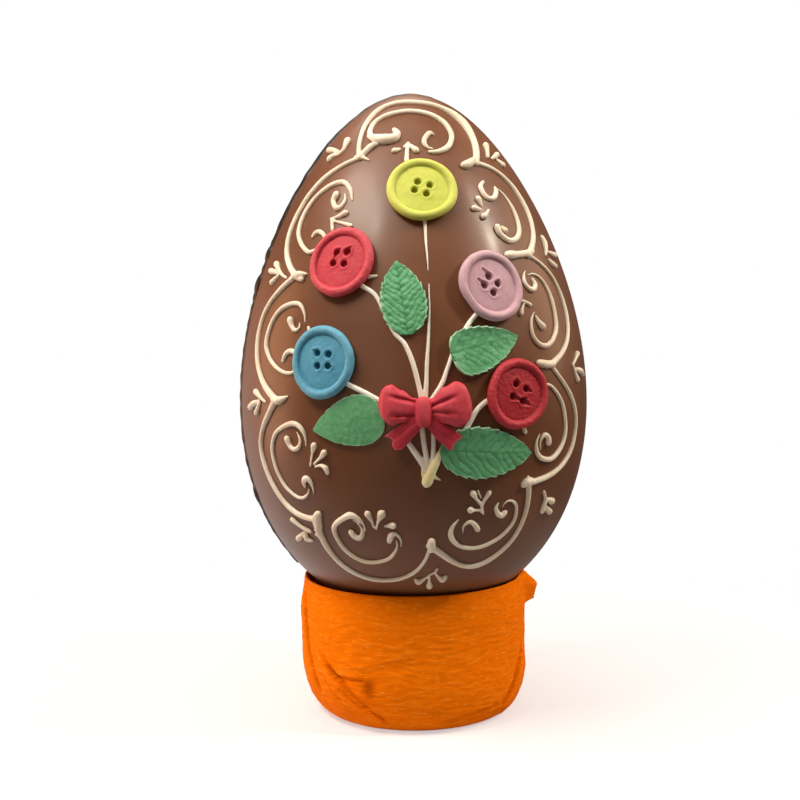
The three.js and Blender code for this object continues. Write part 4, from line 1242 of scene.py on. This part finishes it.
def crepeRelief(around, height):
    spot = (math.radians(around) * collarForm["wall"], height)
    curl = 2.2 * unevenness((spot[0], spot[1], 0), 17, 5)
    crinkle = (spot[0] / collarForm["crinkleLength"], (spot[1] + curl) / collarForm["crinklePitch"], 0)
    strand = unevenness(crinkle, 1, 6)
    relief = collarForm["crinkle"] * max(strand, -0.3)
    relief += 0.5 * unevenness((spot[0], spot[1], 0), 22, 8) * smoothStep(height / 12)
    relief += 0.2 * unevenness((spot[0], spot[1], 0), 7, 9)
    # Painted highlight on the raised crinkles and painted shade in their dips.
    tone = 0.48 + 0.22 * max(0, strand - 0.15) - 0.14 * max(0, -strand - 0.1)
    for pleat in pleats:
        off, share = fromPleat(around, height, pleat["line"])
        if abs(off) > 3 * pleat["reach"]:
            continue
        fade = smoothStep(share / 0.12) * smoothStep((1 - share) / 0.12)
        side = clamp(off / 0.7, -1, 1)
        raised = side if side * pleat["step"] > 0 else 0.45 * side
        relief += pleat["step"] * raised * math.exp(-abs(off) / pleat["reach"]) * fade
        crease = math.exp(-(off / 0.9) ** 2) * fade
        relief -= pleat["crease"] * crease
        # Painted shade along the pleat's crease.
        tone -= 0.3 * pleat["crease"] * crease
    stainAround, stainHeight = collarForm["stain"]["place"]
    far = math.hypot(spot[0] - math.radians(stainAround) * collarForm["wall"], (height - stainHeight) * 0.7)
    tone -= 0.4 * math.exp(-(far / collarForm["stain"]["size"]) ** 2)
    return relief, tone


def earReach(height):
    reaches = collarForm["ear"]["reaches"]
    index, share = spotAmong([spot[0] for spot in reaches], height)
    before, after = reaches[index - 1], reaches[index]
    return before[1] + (after[1] - before[1]) * clamp(share)


def makeCollar():
    profile, firstOuter, lastOuter = collarProfile()
    columns = collarForm["columns"]
    ear = collarForm["ear"]
    clearSelection()
    bpy.ops.mesh.primitive_grid_add(x_subdivisions=columns, y_subdivisions=len(profile) - 1, size=2)
    piece = bpy.context.object
    tones = []
    for vertex in piece.data.vertices:
        around = vertex.co.x * 180
        row = round((vertex.co.y + 1) / 2 * (len(profile) - 1))
        radius, height = profile[row]
        # Painted shade: the foot's underside, the inside of the rim and the seat are darker.
        tone = 0.35
        if firstOuter <= row < lastOuter:
            relief, tone = crepeRelief(around, height)
            calm = smoothStep(height / 2) * smoothStep((collarForm["height"] + 1 - height) / 3)
            radius += relief * calm
            if ear["from"] < around < ear["to"] and height > ear["reaches"][0][0]:
                near = smoothStep((around - ear["from"]) / 7) * smoothStep((ear["to"] - around) / 16)
                radius += near * earReach(height)
        angle = math.radians(around)
        lean = collarForm["lean"] * min(height, collarForm["rounding"]) / collarForm["rounding"]
        if row >= lastOuter:
            lean = 0
        vertex.co = Vector((math.sin(angle) * radius + lean, -math.cos(angle) * radius, height)) * mm
        tones.append(tone)
    paintTone(piece, tones)
    mergeAndOrient(piece, collarForm["gap"] * mm)
    placePiece(piece, "crepe_collar", "collar", makeCrepePaper())


makeCollar()
print("collar made")


# Floor, lights and camera.

# Each lamp: the degrees round from the front and up to it from the egg's middle, its distance, width and
# height in metres, its watts and its tint.
lamps = [
    {"name": "window_lamp", "around": -62, "up": 53, "far": 0.95, "size": (0.7, 0.26), "watts": 8.4,
     "tint": "#fff2e4"},
    {"name": "left_spot", "around": -37, "up": 49, "far": 1, "size": (0.07, 0.05), "watts": 0.7,
     "tint": "#fff4e4"},
    {"name": "right_lamp", "around": 74, "up": 44, "far": 1, "size": (0.14, 0.34), "watts": 3.4,
     "tint": "#fff2e2"},
    {"name": "right_spot", "around": 73, "up": 38, "far": 1, "size": (0.05, 0.1), "watts": 2.8,
     "tint": "#fff4e4"},
    {"name": "left_side_lamp", "around": -100, "up": 4, "far": 0.9, "size": (0.5, 0.7), "watts": 3.4,
     "tint": "#ffc090"},
    {"name": "right_side_lamp", "around": 105, "up": 20, "far": 0.9, "size": (0.4, 0.6), "watts": 2.4,
     "tint": "#ffd2ac"},
    {"name": "front_lamp", "around": -22, "up": 2, "far": 1.1, "size": (1, 0.7), "watts": 1.35,
     "tint": "#ffe0c4"},
    {"name": "ceiling", "around": -10, "up": 72, "far": 1.3, "size": (1.2, 1.2), "watts": 7,
     "tint": "#fff0e0"},
    {"name": "back_lamp", "around": -165, "up": 56, "far": 1.2, "size": (1.1, 0.6), "watts": 5,
     "tint": "#fff0e0"},
]

# The pale table's glow from below and behind on the left: where it comes from and how strong it is there
# and elsewhere.
glow = {"way": (-0.6, 0.5, -0.62), "peak": 1.1, "base": 0.08}


def makeFloor():
    clearSelection()
    bpy.ops.mesh.primitive_circle_add(vertices=96, radius=studio["floorRadius"], fill_type="NGON")
    floor = bpy.context.object
    floor.name = "floor"
    material, tree, shader = newMaterial("white paper floor")
    place = addNode(tree, "ShaderNodeTexCoord").outputs["Object"]
    far = addNode(tree, "ShaderNodeVectorMath", {0: place}, operation="LENGTH")
    fade = addNode(tree, "ShaderNodeMapRange", {
        "Value": far.outputs["Value"], "From Min": 0.05, "From Max": 0.3, "To Min": 0.5, "To Max": 1})
    shader.inputs["Base Color"].default_value = linearColour("#f6f6f6")
    shader.inputs["Roughness"].default_value = 0.9
    clear = addNode(tree, "ShaderNodeBsdfTransparent")
    blend = addNode(tree, "ShaderNodeMixShader", {
        0: fade.outputs["Result"], 1: shader.outputs["BSDF"], 2: clear.outputs["BSDF"]})
    tree.links.new(blend.outputs["Shader"], tree.nodes["Material Output"].inputs["Surface"])
    floor.data.materials.append(material)


def makeLights():
    middle = Vector((0, 0, 0.16))
    for lamp in lamps:
        around, up = math.radians(lamp["around"]), math.radians(lamp["up"])
        way = Vector((math.sin(around) * math.cos(up), -math.cos(around) * math.cos(up), math.sin(up)))
        bpy.ops.object.light_add(type="AREA", location=middle + way * lamp["far"])
        light = bpy.context.object
        light.name = lamp["name"]
        light.rotation_euler = way.to_track_quat("Z", "Y").to_euler()
        light.data.shape = "ELLIPSE"
        light.data.size, light.data.size_y = lamp["size"]
        light.data.color = linearColour(lamp["tint"])[:3]
        light.data.energy = lamp["watts"]
    world = bpy.context.scene.world or bpy.data.worlds.new("studio")
    bpy.context.scene.world = world
    world.use_nodes = True
    tree = world.node_tree
    background = tree.nodes["Background"]
    path = addNode(tree, "ShaderNodeLightPath")
    way = addNode(tree, "ShaderNodeTexCoord").outputs["Generated"]
    facing = addNode(tree, "ShaderNodeVectorMath", {0: way, 1: glow["way"]}, operation="DOT_PRODUCT")
    lit = addNode(tree, "ShaderNodeMapRange", {
        "Value": facing.outputs["Value"], "From Min": 0.6, "To Min": glow["base"], "To Max": glow["peak"]})
    strength = addNode(tree, "ShaderNodeMapRange", {
        "Value": path.outputs["Is Camera Ray"], "To Min": lit.outputs["Result"], "To Max": 1.0})
    background.inputs["Color"].default_value = linearColour("#ffffff")
    tree.links.new(strength.outputs["Result"], background.inputs["Strength"])


def makeCamera():
    bpy.ops.object.camera_add(location=Vector(studio["camera"]) * mm)
    camera = bpy.context.object
    right, up, forward = cameraWays()
    camera.rotation_euler = Matrix((right, up, -forward)).transposed().to_euler()
    camera.data.lens = studio["lens"]
    camera.data.sensor_width = studio["sensor"]
    bpy.context.scene.camera = camera


makeFloor()
makeLights()
makeCamera()
bpy.context.scene.view_settings.view_transform = "Standard"
print("floor, lights and camera made")
